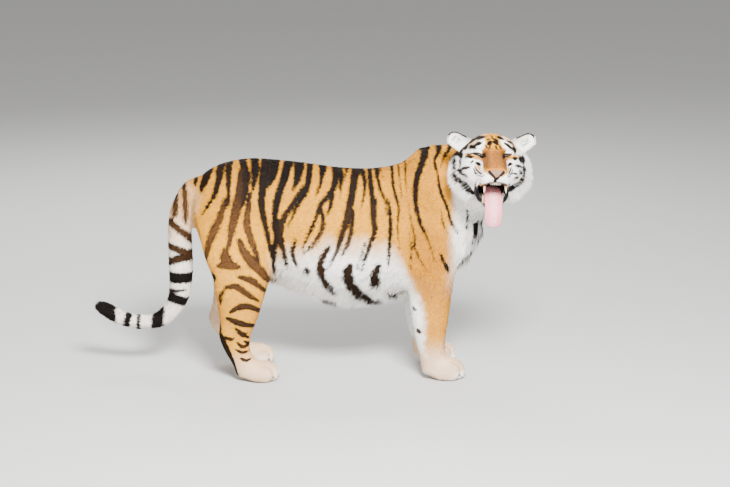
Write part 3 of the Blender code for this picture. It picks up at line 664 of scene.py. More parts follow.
# Stripes of the flank: kind, how brown, then half width and the x and z of each place it runs
# through, in millimetres. A "back" stripe is broad at its start, a "side" one is thin at both
# ends, an "even" one isn't tapered.
FLANK_STRIPES = [
    ("side", 0.4, 8, -490, 910, -505, 830, -517, 755),
    ("back", 0.1, 16, -420, 960, -455, 870, -470, 835, -485, 770),
    ("back", 0.2, 14, -385, 960, -395, 870, -415, 810, -465, 735),
    ("back", 0.2, 14, -350, 970, -350, 880, -347, 775),
    ("side", 0.8, 17, -298, 915, -305, 815, -328, 710, -355, 590),
    ("side", 0.9, 15, -363, 805, -392, 710, -427, 640, -452, 535),
    ("back", 0.1, 13, -305, 970, -273, 898, -277, 830, -293, 765),
    ("back", 0.0, 16, -245, 980, -238, 905, -247, 835),
    ("side", 0.9, 13, -256, 825, -271, 710, -257, 645, -220, 545),
    ("back", 0.1, 15, -190, 970, -203, 860, -207, 775, -190, 690, -173, 585, -162, 520),
    ("back", 0.0, 19, -150, 980, -157, 905, -180, 850),
    ("back", 0.0, 15, -90, 960, -113, 878, -142, 798, -151, 715, -148, 640, -160, 520, -157, 455),
    ("back", 0.0, 18, -45, 960, -53, 885, -75, 840),
    ("back", 0.0, 11, 3, 950, -14, 845, -52, 777, -97, 685),
    ("side", 0.2, 11, -30, 850, -87, 765, -122, 700, -127, 640, -110, 560, -98, 500),
    ("back", 0.0, 9, 40, 960, 50, 882, 22, 800),
    ("back", 0.0, 8, 75, 960, 58, 880),
    ("side", 0.3, 8, -60, 635, -76, 575, -58, 510),
    ("back", 0.1, 10, 105, 950, 106, 860, 72, 808, 46, 780, 15, 695, -28, 605, -28, 560),
    ("side", 0.1, 7, 104, 835, 90, 780, 76, 740),
    ("side", 0.5, 8, 50, 770, 56, 695, 28, 630, -20, 575),
    ("dot", 0.1, 8, -18, 500, -12, 488),
    ("side", 0.2, 12, 82, 605, 45, 530, 58, 455, 105, 400),
    ("back", 0.0, 8, 133, 960, 132, 875, 131, 800),
    ("back", 0.0, 8, 175, 950, 141, 858),
    ("back", 0.2, 14, 208, 960, 188, 858, 163, 735, 132, 640, 113, 575, 72, 500),
    ("side", 0.5, 8, 190, 755, 171, 640, 136, 560),
    ("back", 0.0, 7, 215, 950, 236, 860, 227, 795, 213, 735),
    ("side", 0.2, 11, 250, 960, 262, 875, 270, 797, 275, 711, 280, 670, 253, 600, 222, 500),
    ("side", 0.2, 7, 288, 805, 284, 695),
    ("side", 0.4, 7, 237, 625, 204, 510),
    ("back", 0.0, 8, 278, 950, 300, 852, 322, 798, 326, 730),
    ("back", 0.0, 6, 290, 950, 322, 870),
    ("side", 0.1, 9, 338, 805, 347, 729, 343, 618, 335, 505),
    ("back", 0.0, 8, 352, 960, 360, 850, 382, 775, 377, 690, 386, 600, 400, 540),
    ("back", 0.0, 6, 378, 970, 390, 850, 404, 770),
    ("back", 0.0, 6, 413, 980, 412, 870, 421, 795),
    ("side", 0.7, 6, 423, 805, 433, 729, 451, 640, 453, 595, 482, 535, 517, 490),
    ("side", 0.7, 5, 419, 695, 434, 600, 434, 490),
    ("back", 0.1, 16, 520, 1035, 492, 975, 463, 899, 454, 822, 459, 765, 480, 690, 507, 640, 538, 535),
    ("back", 0.0, 10, 553, 1030, 550, 990, 530, 955),
    ("back", 0.0, 10, 570, 1040, 560, 1000, 536, 968, 535, 930),
    ("back", 0.0, 10, 615, 1030, 600, 1000, 578, 978, 560, 940),
    ("side", 0.3, 8, 540, 960, 549, 898, 562, 835, 592, 765, 610, 700, 632, 665, 642, 625),
    ("side", 0.4, 6, 561, 765, 575, 694, 606, 636),
    ("side", 0.0, 7, 655, 810, 679, 750, 676, 682, 676, 620),
    ("side", 0.0, 7, 622, 650, 645, 595, 666, 545),
    ("side", 0.0, 11, 560, 575, 590, 510, 628, 450),
    ("side", 0.1, 20, 171, 520, 162, 469, 197, 405, 244, 368, 290, 345),
    ("side", 0.1, 9, 138, 495, 170, 483),
    ("side", 0.1, 20, 294, 520, 274, 464, 285, 425),
    ("side", 0.1, 15, 320, 398, 345, 375, 370, 350),
    ("side", 0.1, 10, 52, 360, 108, 342),
]
# Marks down the front of chest and throat, as away from the middle and z, alike on both sides
CHEST_MARKS = [
    ("side", 0.0, 10, 30, 800, 48, 740, 52, 680),
    ("side", 0.0, 10, 85, 760, 98, 690, 95, 610),
    ("side", 0.0, 9, 22, 660, 40, 600, 44, 545),
    ("side", 0.0, 10, 75, 560, 100, 520, 118, 470),
    ("side", 0.1, 8, 120, 680, 132, 620, 128, 560),
    ("side", 0.1, 9, 26, 520, 52, 480, 60, 440),
]
# Bands of the hind leg and spots of the foreleg
LEG_BANDS = [
    ("side", 0.8, 17, -303, 635, -284, 586, -246, 534, -212, 497, -180, 445),
    ("side", 0.9, 20, -366, 590, -360, 550, -345, 525),
    ("side", 0.9, 16, -395, 523, -345, 530, -300, 520),
    ("side", 0.6, 12, -310, 480, -270, 470, -238, 452, -190, 400),
    ("side", 0.6, 12, -365, 430, -319, 437, -272, 405, -225, 368),
    ("side", 0.4, 12, -345, 320, -305, 345, -260, 345, -205, 305),
    ("side", 0.3, 12, -362, 292, -325, 278, -290, 265, -225, 245),
    ("side", 0.3, 9, -325, 247, -300, 220, -272, 198),
    ("side", 0.2, 8, -290, 185, -260, 165),
    ("side", 0.2, 7, -250, 225, -215, 205),
    ("dot", 0.1, 12, -420, 476, -416, 462),
    ("side", 0.1, 13, -412, 300, -408, 262, -392, 235),
    ("side", 0.1, 16, -405, 235, -380, 165, -350, 90, -325, 30),
    ("side", 0.5, 8, -372, 418, -385, 390, -388, 350),
    ("side", 0.5, 7, -372, 205, -350, 196, -330, 202),
    ("side", 0.6, 7, -320, 180, -295, 160, -262, 168),
    ("side", 0.6, 6, -330, 150, -300, 136, -268, 138),
    ("side", 0.6, 6, -310, 112, -285, 100, -262, 104),
    ("side", 0.5, 6, -300, 225, -275, 222),
    ("dot", 0.3, 6, 449, 328, 455, 320),
    ("dot", 0.3, 7, 467, 228, 472, 220),
]
# Rings of the tail, drawn right across it
TAIL_RINGS = [
    ("side", 0.8, 11, -550, 860, -545, 753, -552, 672),
    ("side", 0.8, 9, -580, 800, -590, 730, -600, 690),
    ("even", 0.5, 12, -640, 692, -577, 649, -515, 580),
    ("even", 0.4, 13, -645, 574, -588, 559, -515, 522),
    ("even", 0.3, 13, -645, 485, -580, 514, -515, 517),
    ("even", 0.0, 20, -650, 428, -500, 424),
    ("even", 0.2, 6, -645, 367, -563, 370),
    ("even", 0.0, 18, -660, 342, -590, 326, -520, 290),
    ("even", 0.0, 20, -672, 275, -684, 218, -694, 160),
    ("even", 0.2, 7, -766, 270, -770, 160),
    ("even", 0.0, 12, -802, 290, -832, 160),
    ("even", 0.0, 50, -915, 240, -935, 265, -960, 300),
]
# Marks of the face in head axes: half width in tenths of a millimetre, then side and up of each
# place in millimetres, negative to the tiger's right
FACE_MARKS = [
    ("side", 0.0, 35, -77, 3, -57, -1, -38, -8),
    ("side", 0.0, 35, 40, -8, 58, -1, 79, 2),
    ("dot", 0.0, 42, -45, -7, -39, -4),
    ("dot", 0.0, 42, 44, -8, 49, -4),
    ("side", 0.0, 45, -89, 21, -80, 29, -71, 24),
    ("side", 0.1, 20, -72, 34, -58, 44, -46, 47),
    ("side", 0.1, 20, 50, 47, 65, 39, 76, 29, 92, 22),
    ("side", 0.0, 38, 90, 32, 97, 19, 98, 6),
    ("side", 0.0, 45, -20, 42, -12, 47, -5, 53),
    ("side", 0.0, 45, 6, 53, 15, 50, 23, 42),
    ("side", 0.2, 18, -31, 37, -25, 28),
    ("side", 0.2, 18, 29, 36, 35, 26),
    ("side", 0.2, 15, -12, 35, -17, 24),
    ("side", 0.2, 15, 12, 35, 16, 24),
    ("side", 0.0, 36, -65, 59, -46, 67, -24, 72),
    ("side", 0.0, 36, 20, 72, 34, 69, 49, 63),
    ("side", 0.2, 14, -1, 76, 3, 62),
    ("side", 0.1, 26, -60, 79, -36, 86, -10, 89),
    ("side", 0.1, 26, 12, 89, 39, 85, 62, 76),
    ("side", 0.1, 22, -102, 56, -86, 70, -70, 78),
    ("side", 0.1, 22, -94, 40, -82, 53, -66, 60),
    ("side", 0.1, 22, 64, 56, 80, 50, 94, 38),
    ("side", 0.1, 22, -123, 30, -112, 46),
    ("side", 0.1, 22, 110, 44, 122, 28),
    ("side", 0.1, 20, -22, 59, -10, 64),
    ("side", 0.1, 20, 10, 64, 24, 57),
    ("side", 0.1, 22, 72, 76, 87, 66, 100, 50),
    ("side", 0.0, 45, -114, 16, -106, 26, -98, 33),
    ("side", 0.0, 55, -127, -20, -127, -5, -122, 10),
    ("side", 0.0, 32, -154, -16, -150, -6, -144, 2),
    ("side", 0.0, 45, -152, -28, -156, -46),
    ("side", 0.0, 45, -156, -52, -155, -76),
    ("side", 0.1, 22, -130, -31, -131, -50),
    ("dot", 0.0, 36, -129, -66, -128, -74),
    ("side", 0.2, 22, -122, -63, -108, -60, -94, -55),
    ("side", 0.0, 22, -107, -15, -94, -13, -80, -12),
    ("side", 0.1, 16, -100, -1, -81, 2),
    ("side", 0.0, 30, -69, -36, -61, -39, -54, -45),
    ("side", 0.1, 14, -88, -36, -81, -28),
    ("side", 0.3, 14, -122, -83, -110, -94, -99, -103),
    ("side", 0.0, 52, 118, -6, 122, -18, 127, -33),
    ("side", 0.0, 48, 138, -6, 142, -20, 145, -36),
    ("side", 0.1, 34, 145, -46, 148, -62, 146, -80),
    ("side", 0.1, 24, 98, -44, 113, -48, 130, -54),
    ("side", 0.1, 28, 116, -68, 123, -74, 129, -81),
    ("side", 0.3, 14, 87, -77, 104, -79),
    ("side", 0.0, 22, 86, -13, 97, -16, 110, -16),
    ("side", 0.1, 26, 64, -43, 72, -38, 80, -36),
    ("side", 0.3, 18, 92, -111, 103, -102, 115, -90),
    ("side", 0.2, 80, -156, -92, -139, -113, -122, -126),
    ("side", 0.0, 85, -126, -123, -109, -133, -93, -153, -70, -174),
    ("side", 0.2, 75, 150, -98, 134, -112, 120, -126),
    ("side", 0.0, 80, 124, -122, 106, -136, 88, -149, 64, -169),
    ("side", 0.9, 13, -74, -49, -64, -69, -44, -86),
    ("side", 0.9, 13, -79, -60, -67, -82, -49, -96),
    ("side", 0.9, 13, 79, -49, 70, -69, 52, -86),
    ("side", 0.9, 13, 86, -60, 74, -82, 56, -96),
    ("even", 0.0, 16, 1, -97, 1, -116),
]
# Orange of the face, in the same units
FACE_ORANGE = [
    ("even", 0, 330, -2, 76, -2, 40),
    ("even", 0, 370, -2, 35, -1, 6),
    ("even", 0, 480, 0, -3, 0, -10),
    ("even", 0, 610, 0, -15, 1, -32),
    ("even", 0, 490, 1, -39, 1, -44),
    ("even", 0, 300, 1, -49, 1, -58),
    ("even", 0, 85, -104, -7, -70, -12, -46, -22),
    ("even", 0, 85, 49, -20, 72, -11, 100, -8),
    ("even", 0, 30, -66, -52, -60, -70),
    ("even", 0, 30, 62, -52, 58, -70),
]
# How much wider the stripes of the flank are drawn, by the place of their middle: x, share
STRIPE_WIDTH = [(-0.40, 1.22), (-0.12, 1.30), (0.08, 1.42), (0.22, 1.30), (0.40, 0.95)]
BAND_WIDTH = 1.25            # the same for the bands of legs and tail
CHEST_WIDTH = 1.9            # and once more for the marks of the chest
EDGE_WAVES = 0.0016          # how far the edges of the stripes wander
EDGE_CALM_ON_HEAD = 0.7
BELLY_WAVES = 0.007          # how far the stripes break up low on the trunk
# The far side's stripes are the near side's, shifted and swayed: how far, waves, start
FAR_SHIFT = 0.012
FAR_SWAY = (0.022, 9.0, 1.3)
FAR_RISE = (0.015, 11.0, 4.0)
DARK_BACK = 0.65             # share of the brown that is lost high on the back
# Black edge of the lips beside the open mouth, centimetres: side, up, half width
LIP_LINE = [(6.5, -10.4, 0.20), (7.0, -12.4, 0.50), (6.9, -15.5, 0.60), (6.3, -18.8, 0.62),
            (5.4, -21.4, 0.58), (4.4, -22.8, 0.40)]
FACE_LINE = 0.50             # added to the half width of a mark on the face, centimetres
FOREHEAD_LINE = 0.20         # less than that on the forehead
FOREHEAD_UP = (4.2, 5.8)     # where the forehead starts, centimetres up
FACE_WIDTH = 0.85            # share of its own half width that a mark keeps
FINE_LINE = 0.27             # half width of the brown rows on the muzzle
CHEEK_END = 12.0             # marks beyond this are drawn inwards, centimetres
CHEEK_DRAW = 0.28            # by this share of what lies beyond
FACE_SHIFT = 0.5             # all marks of the face move to the tiger's right, centimetres
JAW_SHIFT = 0.8              # those beside the chin move up


def waves(points, length, seed):
    """Smooth wandering value of about -1 to 1 over space."""
    draw = np.random.default_rng(seed)
    ways = unit(draw.normal(size=(7, 3))) * (2 * math.pi / length) * draw.uniform(0.6, 1.6, (7, 1))
    return np.sin(points @ ways.T + draw.uniform(0, 6.28, 7)).mean(1) * 1.6


# Bands of the neck: the way along it to the head, the way out of its far side, spacing, half width
NECK_WAY = np.array((0.64, -0.70, 0.32))
NECK_FAR = np.array((0.74, 0.67, 0.20))
NECK_BAND = 0.058
NECK_BAND_HALF = 0.0075
NECK_SWAY = 0.010
NECK_LEAN = 0.10
# Arcs over the crown: where they start, how they bend, spacing, half width
CROWN_START, CROWN_BEND, CROWN_BAND, CROWN_HALF = 0.30, 0.35, 0.042, 0.006


def body_marks(at):
    """Distance to the stripes of body, legs and tail, and how brown they are."""
    far = at.side > 0
    drift = smoothstep(0.02, 0.12, np.abs(at.y - MID_Y))
    x = at.x + far * drift * (FAR_SWAY[0] * np.sin(FAR_SWAY[1] * at.x + FAR_SWAY[2]) + FAR_SHIFT)
    z = at.z + far * drift * FAR_RISE[0] * np.sin(FAR_RISE[1] * at.x + FAR_RISE[2] * at.z)
    flat = np.stack([x, z], axis=1)
    inner = smoothstep(0.15, -0.45, at.normals[:, 1] * at.side)
    inner *= smoothstep(0.55, 0.42, at.z) * (1 - at.belly)
    on_tail = smoothstep(0.35, 0.65, at.share["tail"])
    field, tone = np.full(len(x), NO_MARK), np.zeros(len(x))
    facing = smoothstep(0.55, 0.80, at.normals[:, 0]) * smoothstep(0.50, 0.58, at.x)
    from_middle = np.stack([np.abs(at.y - MID_Y - 0.010 * np.sin(14 * at.z)), at.z], axis=1)
    groups = (
        (CHEST_MARKS, from_middle, (1 - facing) * NO_MARK),
        (FLANK_STRIPES, flat, on_tail * NO_MARK + at.share["lower_leg"] * 0.02 + facing * 0.03),
        (LEG_BANDS, flat, on_tail * NO_MARK + inner * 0.008),
        (TAIL_RINGS, at.points[:, [0, 2]], (1 - on_tail) * NO_MARK),
    )
    for marks, place, penalty in groups:
        for kind, brown, half, path in marks_of(marks, 1000, 1000):
            wide = BAND_WIDTH * (CHEST_WIDTH if marks is CHEST_MARKS else 1.0)
            if marks is FLANK_STRIPES:
                wide = np.interp(sum(x for x, _ in path) / len(path), *zip(*STRIPE_WIDTH))
            own = mark_field(place, [mark_rows(kind, half * wide, path)], NO_MARK) + penalty
            nearer = own < field
            field = np.where(nearer, own, field)
            darker = 1.0 - DARK_BACK * smoothstep(0.70, 0.84, at.z) * (marks is FLANK_STRIPES)
            tone = np.where(nearer & (own < 0.012), brown * darker, tone)
    away = smoothstep(0.05, 0.35, at.normals @ NECK_FAR) * at.share["neck"] * smoothstep(0.80, 0.88, at.z)
    along = at.points @ NECK_WAY + NECK_SWAY * waves(at.points, 0.10, 11) + NECK_LEAN * at.z
    band = np.abs(along % NECK_BAND - NECK_BAND / 2) - NECK_BAND_HALF
    return np.minimum(field, band + (1 - away) * NO_MARK), tone


def round_cheek(side):
    """Draws the outermost marks inwards, so that the long hair of the ruff ends white."""
    beyond = max(0.0, abs(side) - CHEEK_END)
    return math.copysign(abs(side) - CHEEK_DRAW * beyond, side) - FACE_SHIFT


def head_marks(at):
    """Distance to the marks of the head, and how brown they are."""
    u, ahead, v = at.local.T
    flat = np.stack([u, v], axis=1)
    field, tone = np.full(len(u), NO_MARK), np.zeros(len(u))
    behind = smoothstep(-0.125, -0.165, ahead) * NO_MARK
    for kind, brown, half, path in marks_of(FACE_MARKS, 100, 10):
        side, up = path[0]
        forehead = float(smoothstep(*FOREHEAD_UP, up)) * (abs(side) > 1.5)
        half = FACE_LINE - FOREHEAD_LINE * forehead + FACE_WIDTH * half if brown < 0.9 else FINE_LINE
        path = [
            (round_cheek(side), up + JAW_SHIFT * float(smoothstep(-8.5, -10.0, up))) for side, up in path
        ]
        own = mark_field(flat, [mark_rows(kind, half, path, CM)], NO_MARK) + behind - 0.0006
        nearer = own < field
        field = np.where(nearer, own, field)
        tone = np.where(nearer, brown, tone)
    along = ahead + CROWN_START + CROWN_BEND * np.abs(u)
    arcs = np.abs((along % CROWN_BAND) - CROWN_BAND / 2) - CROWN_HALF
    top = smoothstep(-0.085, -0.115, ahead) * smoothstep(0.02, 0.05, v)
    field = np.minimum(field, arcs + (1 - top) * NO_MARK)
    return field, tone


# Ground of the body, where the white of the underside turns to orange
WHITE_LINE = 0.53            # height of the border on the flank
WHITE_LINE_SWAY = (0.05, 6.0, 0.6)
WHITE_LINE_WAVES = 0.02
SHOULDER_LOWER = 0.14        # how much lower it runs over the shoulder
BORDER_BELOW, BORDER_ABOVE = 0.06, 0.10
# Least share of orange on a leg and what is added higher up
HIND_LEG_ORANGE = (0.60, 0.38)
FORELEG_ORANGE = (0.55, 0.43)
FORELEG_X = 0.562            # middle of the orange band down the forelegs
FORELEG_HALF = (0.070, 0.060)                  # its half width low down, and what is added above
FORELEG_WAVES, FORELEG_BLUR = 0.008, 0.022
INNER_WHITE, INNER_HIND = 0.85, 0.45           # whiter inside the legs, less so on the hind ones
BELLY_WHITE, CHEST_WHITE = 0.92, 0.95
FOOT_ORANGE = 0.60
TAIL_ORANGE = (0.14, 0.70)   # share at the tail's end, and what is added towards its root


def orange_of_body(at):
    """Share of orange in the ground colour, from the white of the underside upwards."""
    far, often, start = WHITE_LINE_SWAY
    border = WHITE_LINE + far * np.sin(often * at.x + start) + WHITE_LINE_WAVES * waves(at.points, 0.12, 3)
    border -= SHOULDER_LOWER * smoothstep(0.36, 0.46, at.x)
    ground = smoothstep(border - BORDER_BELOW, border + BORDER_ABOVE, at.z)
    hind = smoothstep(-0.10, -0.20, at.x)
    least, more = HIND_LEG_ORANGE
    ground = np.maximum(ground, hind * (least + more * smoothstep(0.04, 0.17, at.z)))
    wide = FORELEG_HALF[0] + FORELEG_HALF[1] * smoothstep(0.28, 0.50, at.z)
    wide += FORELEG_WAVES * waves(at.points, 0.05, 15)
    band = smoothstep(wide + FORELEG_BLUR, wide - FORELEG_BLUR, np.abs(at.x - FORELEG_X))
    band *= smoothstep(0.56, 0.46, at.z)
    least, more = FORELEG_ORANGE
    ground = np.maximum(ground, band * (least + more * smoothstep(0.05, 0.22, at.z)))
    inner = smoothstep(0.15, -0.35, at.normals[:, 1] * at.side) * smoothstep(0.66, 0.50, at.z)
    ground = ground * (1 - (INNER_WHITE - INNER_HIND * hind) * inner)
    ground = ground * (1 - BELLY_WHITE * at.belly) * (1 - CHEST_WHITE * at.chest)
    ground *= 1 - smoothstep(0.600, 0.645, at.x) * smoothstep(0.91, 0.85, at.z) * smoothstep(0.22, 0.30, at.z)
    ground = np.maximum(ground, FOOT_ORANGE * at.share["foot"] * smoothstep(0.015, 0.055, at.z))
    tail = at.share["tail"]
    tail_ground = TAIL_ORANGE[0] + TAIL_ORANGE[1] * smoothstep(0.46, 0.80, at.z)
    return ground * (1 - tail) + tail_ground * tail


def orange_of_head(at):
    """Share of orange on face, crown and back of the head."""
    u, ahead, v = at.local.T
    flat = np.stack([u, v], axis=1)
    rows = [mark_rows(kind, half, path, CM) for kind, _, half, path in marks_of(FACE_ORANGE, 100, 10)]
    face = smoothstep(0.007, -0.006, mark_field(flat, rows, NO_MARK) + 0.004 * waves(at.points, 0.02, 8))
    radial = np.sqrt(u ** 2 + (v + 0.02) ** 2)
    crown = smoothstep(0.080, 0.105, radial) * smoothstep(-0.01, 0.05, v) * 0.75
    back = smoothstep(-0.10, -0.15, ahead) * smoothstep(-0.08, 0.0, v)
    return np.maximum(face, np.maximum(crown, back))


# Depth of the orange: everywhere, then what shoulder, back, foreleg and bridge of the nose add
DEPTH_ALL, DEPTH_SHOULDER, DEPTH_BACK, DEPTH_FORELEG = 0.22, 0.45, 0.25, 0.16
DEPTH_BRIDGE, BRIDGE_WAVES, BRIDGE_SIDES = 0.95, 0.5, 0.55
DEPTH_MOST = 1.8
SHOULDER = (0.50, 0.12, 0.57, 0.26)            # x and its reach, z and its reach


def richness(at):
    """How deep the orange is: deepest on face, shoulder and foreleg."""
    x, wide, z, tall = SHOULDER
    shoulder = np.exp(-(((at.x - x) / wide) ** 2 + ((at.z - z) / tall) ** 2))
    back = smoothstep(0.70, 0.92, at.z) * DEPTH_BACK
    u, ahead, v = at.local.T
    bridge = at.share["head"] * smoothstep(0.075, 0.03, np.abs(u)) * smoothstep(0.045, 0.0, v)
    bridge *= smoothstep(-0.066, -0.045, v) * (ahead > -0.02)
    sides = BRIDGE_SIDES * smoothstep(0.012, 0.042, np.abs(u))
    bridge *= DEPTH_BRIDGE + BRIDGE_WAVES * waves(at.points, 0.012, 9) + sides
    foreleg = DEPTH_FORELEG * smoothstep(0.40, 0.50, at.x) * smoothstep(0.62, 0.50, at.z)
    return np.clip(DEPTH_ALL + DEPTH_SHOULDER * shoulder + back + foreleg + bridge, 0, DEPTH_MOST)


def mouth_depth(local):
    """How far a point lies outside the hollow of the mouth, negative inside it."""
    rows = smooth_rows([(*centre, width, height) for centre, width, height in MOUTH], MARK_STEPS)
    ahead = local[:, 1]
    centre = np.interp(ahead, rows[:, 1], rows[:, 2])
    width = np.interp(ahead, rows[:, 1], rows[:, 3])
    height = np.interp(ahead, rows[:, 1], rows[:, 4])
    across = np.abs(local[:, 0]) / width
    rise = np.abs(local[:, 2] - centre) / height
    size = (across ** MOUTH_SQUARENESS + rise ** MOUTH_SQUARENESS) ** (1 / MOUTH_SQUARENESS)
    depth = (size - 1.0) * 0.5 * (width + height)
    return np.where(ahead > rows[0, 1] - MOUTH_BACK_ROOM, depth, NO_MARK)


# Dark skin, as distances from the mouth's hollow or from the opening of the eyes
LINING = (0.010, 0.006)      # lining of the mouth: from none to whole
LIP_WIDE = (0.0125, 0.0090)  # width of the lips, and what is added towards the chin
LIP_LOW = (-0.140, -0.195)
LIP_BLUR = 0.004
LID_RIM = (0.0058, 0.0042)
EDGE_BLUR = (0.0008, -0.0012)
PAD_RISE = (0.011, 0.006)    # the soles are bare below this height


def dark_skin(at):
    """Shares of the lips, of the rims of the lids, of the pads and of the lining of the mouth."""
    on_head = at.share["head"]
    from_mouth = mouth_depth(at.local)
    ahead, v = at.local[:, 1], at.local[:, 2]
    lining = on_head * smoothstep(*LINING, from_mouth)
    wide = LIP_WIDE[0] + LIP_WIDE[1] * smoothstep(*LIP_LOW, v)
    lips = smoothstep(wide, wide - LIP_BLUR, from_mouth) * smoothstep(-0.120, -0.130, v)
    upper_lip = smoothstep(0.0060, 0.0040, from_mouth) * smoothstep(-0.0030, -0.0005, from_mouth)
    lips = np.maximum(lips, upper_lip) * on_head
    flat = at.local[:, [0, 2]]
    flat[:, 0] = np.abs(flat[:, 0])
    edge = mark_field(flat, [np.array(LIP_LINE) * CM], NO_MARK)
    border = smoothstep(*EDGE_BLUR, edge) * (ahead > -0.065) * (ahead < 0.085)
    lips = np.maximum(lips, border * on_head)
    rims = smoothstep(*LID_RIM, lid_gap(at.local)) * on_head
    pads = smoothstep(*PAD_RISE, at.z) * smoothstep(-0.5, -0.8, at.normals[:, 2])
    return lips, rims, pads, lining


def paint(mesh, at, pairs):
    """Keep on the points "marks": stripe distance, brownness, share of orange in the ground;
    and "finish": depth of the orange, dark skin, lining of the mouth. Dark skin is bare."""
    on_head = smoothstep(0.40, 0.60, at.share["head"])
    body, body_tone = body_marks(at)
    face, face_tone = head_marks(at)
    stripe = np.minimum(body + on_head * NO_MARK, face + (1 - on_head) * NO_MARK)
    tone = np.where(on_head > 0.5, face_tone, spread(body_tone, pairs, TONE_ROUNDS))
    stripe = stripe + EDGE_WAVES * waves(at.points, 0.018, 5) * (1 - EDGE_CALM_ON_HEAD * on_head)
    low = smoothstep(0.56, 0.48, at.z)
    stripe = stripe + BELLY_WAVES * waves(at.points, 0.06, 6) * low * at.share["trunk"]
    ground = orange_of_body(at) * (1 - on_head) + orange_of_head(at) * on_head
    lips, rims, pads, lining = dark_skin(at)
    under_nose = at.share["head"] * (nose_gap(at.local) < 0.001)
    for bare in (rims, pads, under_nose):
        at.bare = np.maximum(at.bare, bare)
    for dark in (pads, rims):
        lips = np.maximum(lips, dark)
    store(mesh, "marks", np.stack([stripe, tone, ground], axis=1))
    store(mesh, "finish", np.stack([richness(at), lips, lining], axis=1))


# ---------------------------------------------------------------- ears
EAR_BASE = np.array((0.127, -0.112, 0.042))     # in head axes, of the left ear
EAR_TIP = np.array((0.180, -0.108, 0.0745))
EAR_HALF_WIDTH = 0.0325
EAR_ROOT = 0.036             # how far the ear starts inside the head
EAR_TAPER = 0.20
EAR_ROUND = 8                # power of its profile: more is squarer at the tip
EAR_CUP = (0.022, 0.006)     # depth of the hollow at the root, and added all along
EAR_THICK = 0.0032
EAR_THIN_TIP = 0.4           # share of the thickness lost at the tip
EAR_RINGS, EAR_RING_POINTS = 30, 48


def ear_mesh(side):
    """A thin rounded cup, open to the front; returns the mesh and each point's place on it:
    along the ear, across it, and out of its front."""
    base, tip = EAR_BASE * (side, 1, 1), EAR_TIP * (side, 1, 1)
    along = unit(tip - base)
    root = base - along * EAR_ROOT
    length = np.linalg.norm(tip - root)
    across = unit(np.cross(along, (0.0, 1.0, 0.0)))
    rings, places = [], []
    for t in np.linspace(0, 1, EAR_RINGS):
        half = EAR_HALF_WIDTH * (1 - EAR_TAPER * t * t) * math.sqrt(max(0.012, 1 - t ** EAR_ROUND))
        cup = EAR_CUP[0] * (1 - t) + EAR_CUP[1]
        ring = []
        for angle in np.linspace(0, 2 * math.pi, EAR_RING_POINTS, endpoint=False):
            c = math.cos(angle)
            thick = EAR_THICK * math.sin(angle) * (1 - EAR_THIN_TIP * t)
            at = root + along * length * t + across * half * c
            at = at + np.array((0, thick + cup * (c * c - 0.5), 0))
            ring.append(Vector(from_head(at)))
            places.append((t, c, math.sin(angle)))
        rings.append(ring)
    places += [(0, 0, 0), (1, 0, 0)]
    return loft(rings, "ear"), np.array(places)


# ---------------------------------------------------------------- the coat
# Tufts by region: length, half width, tufts per square metre, lift in degrees
TUFTS = {
    "head": (0.024, 0.0013, 110000, 16),
    "ear": (0.010, 0.0007, 260000, 14),
    "neck": (0.034, 0.0016, 52000, 16),
    "trunk": (0.026, 0.0015, 40000, 12),
    "upper_leg": (0.024, 0.0014, 44000, 13),
    "lower_leg": (0.016, 0.0011, 70000, 12),
    "foot": (0.010, 0.0009, 120000, 12),
    "tail": (0.027, 0.0015, 56000, 21),
}
# The same where the coat is longer or shorter than round about
TUFT_ZONES = {
    "ruff": (0.042, 0.0017, 60000, 24),
    "belly": (0.058, 0.0022, 26000, 42),
    "chest": (0.048, 0.0019, 36000, 24),
    "cheek": (0.016, 0.0011, 140000, 13),
    "face": (0.009, 0.0008, 230000, 13),
    "muzzle": (0.006, 0.0006, 240000, 10),
    "jaw": (0.009, 0.0008, 180000, 10),
}
COAT_PIECES = 8
TUFT_BUDGET = 160000
LEAST_RISE = 0.0004          # the coat under the feet stays this far above the floor
MARK_STRAY = 0.28            # how far, as a share of its length, a tuft carries the marks of its root
STRAY_LENGTHS = (0.006, 0.020)                 # shorter tufts carry theirs less
# Blades of a tuft
BLADES = 3
BLADE_LENGTHS = (0.65, 1.25)                   # shares of the tuft's own size, at random
BLADE_WIDTHS = (0.75, 1.25)
BLADE_LIFTS = (0.55, 1.5)
BLADE_FAN = 0.16             # turn from one blade to the next, radians
BLADE_TURN, BLADE_ROLL = 0.13, 0.45            # how far they stray, radians
BLADE_GAP = 1.7              # half widths from one root to the next
BLADE_ROOT = 0.0012          # depth of the root below the skin
BLADE_DROOP, LONG_HAIR = 0.22, (0.03, 0.06)    # long hair hangs down by a share of its length
BLADE_FLATTEN = 0.35         # how much less the tip rises than the root
BLADE_ROWS = ((0.0, 1.0), (0.5, 0.85), (1.0, 0.0))       # place along it, share of its width
BLADE_POINTS = 5
BLADE_FACES = [[0, 3, 1], [0, 2, 3], [2, 4, 3]]
BLADE_STATION = [0, 0, 1, 1, 2]                # row of each point
LEAN_SHADE, SKIN_SHADE = 0.45, 0.75            # blades are shaded half as the skin is
PATCH = [(-1, -1), (1, -1), (-1, 0.3), (1, 0.3), (0, 1)]      # a blade's place in the unwrap
PATCH_HALF, PATCH_STEP = 0.0013, 0.0002
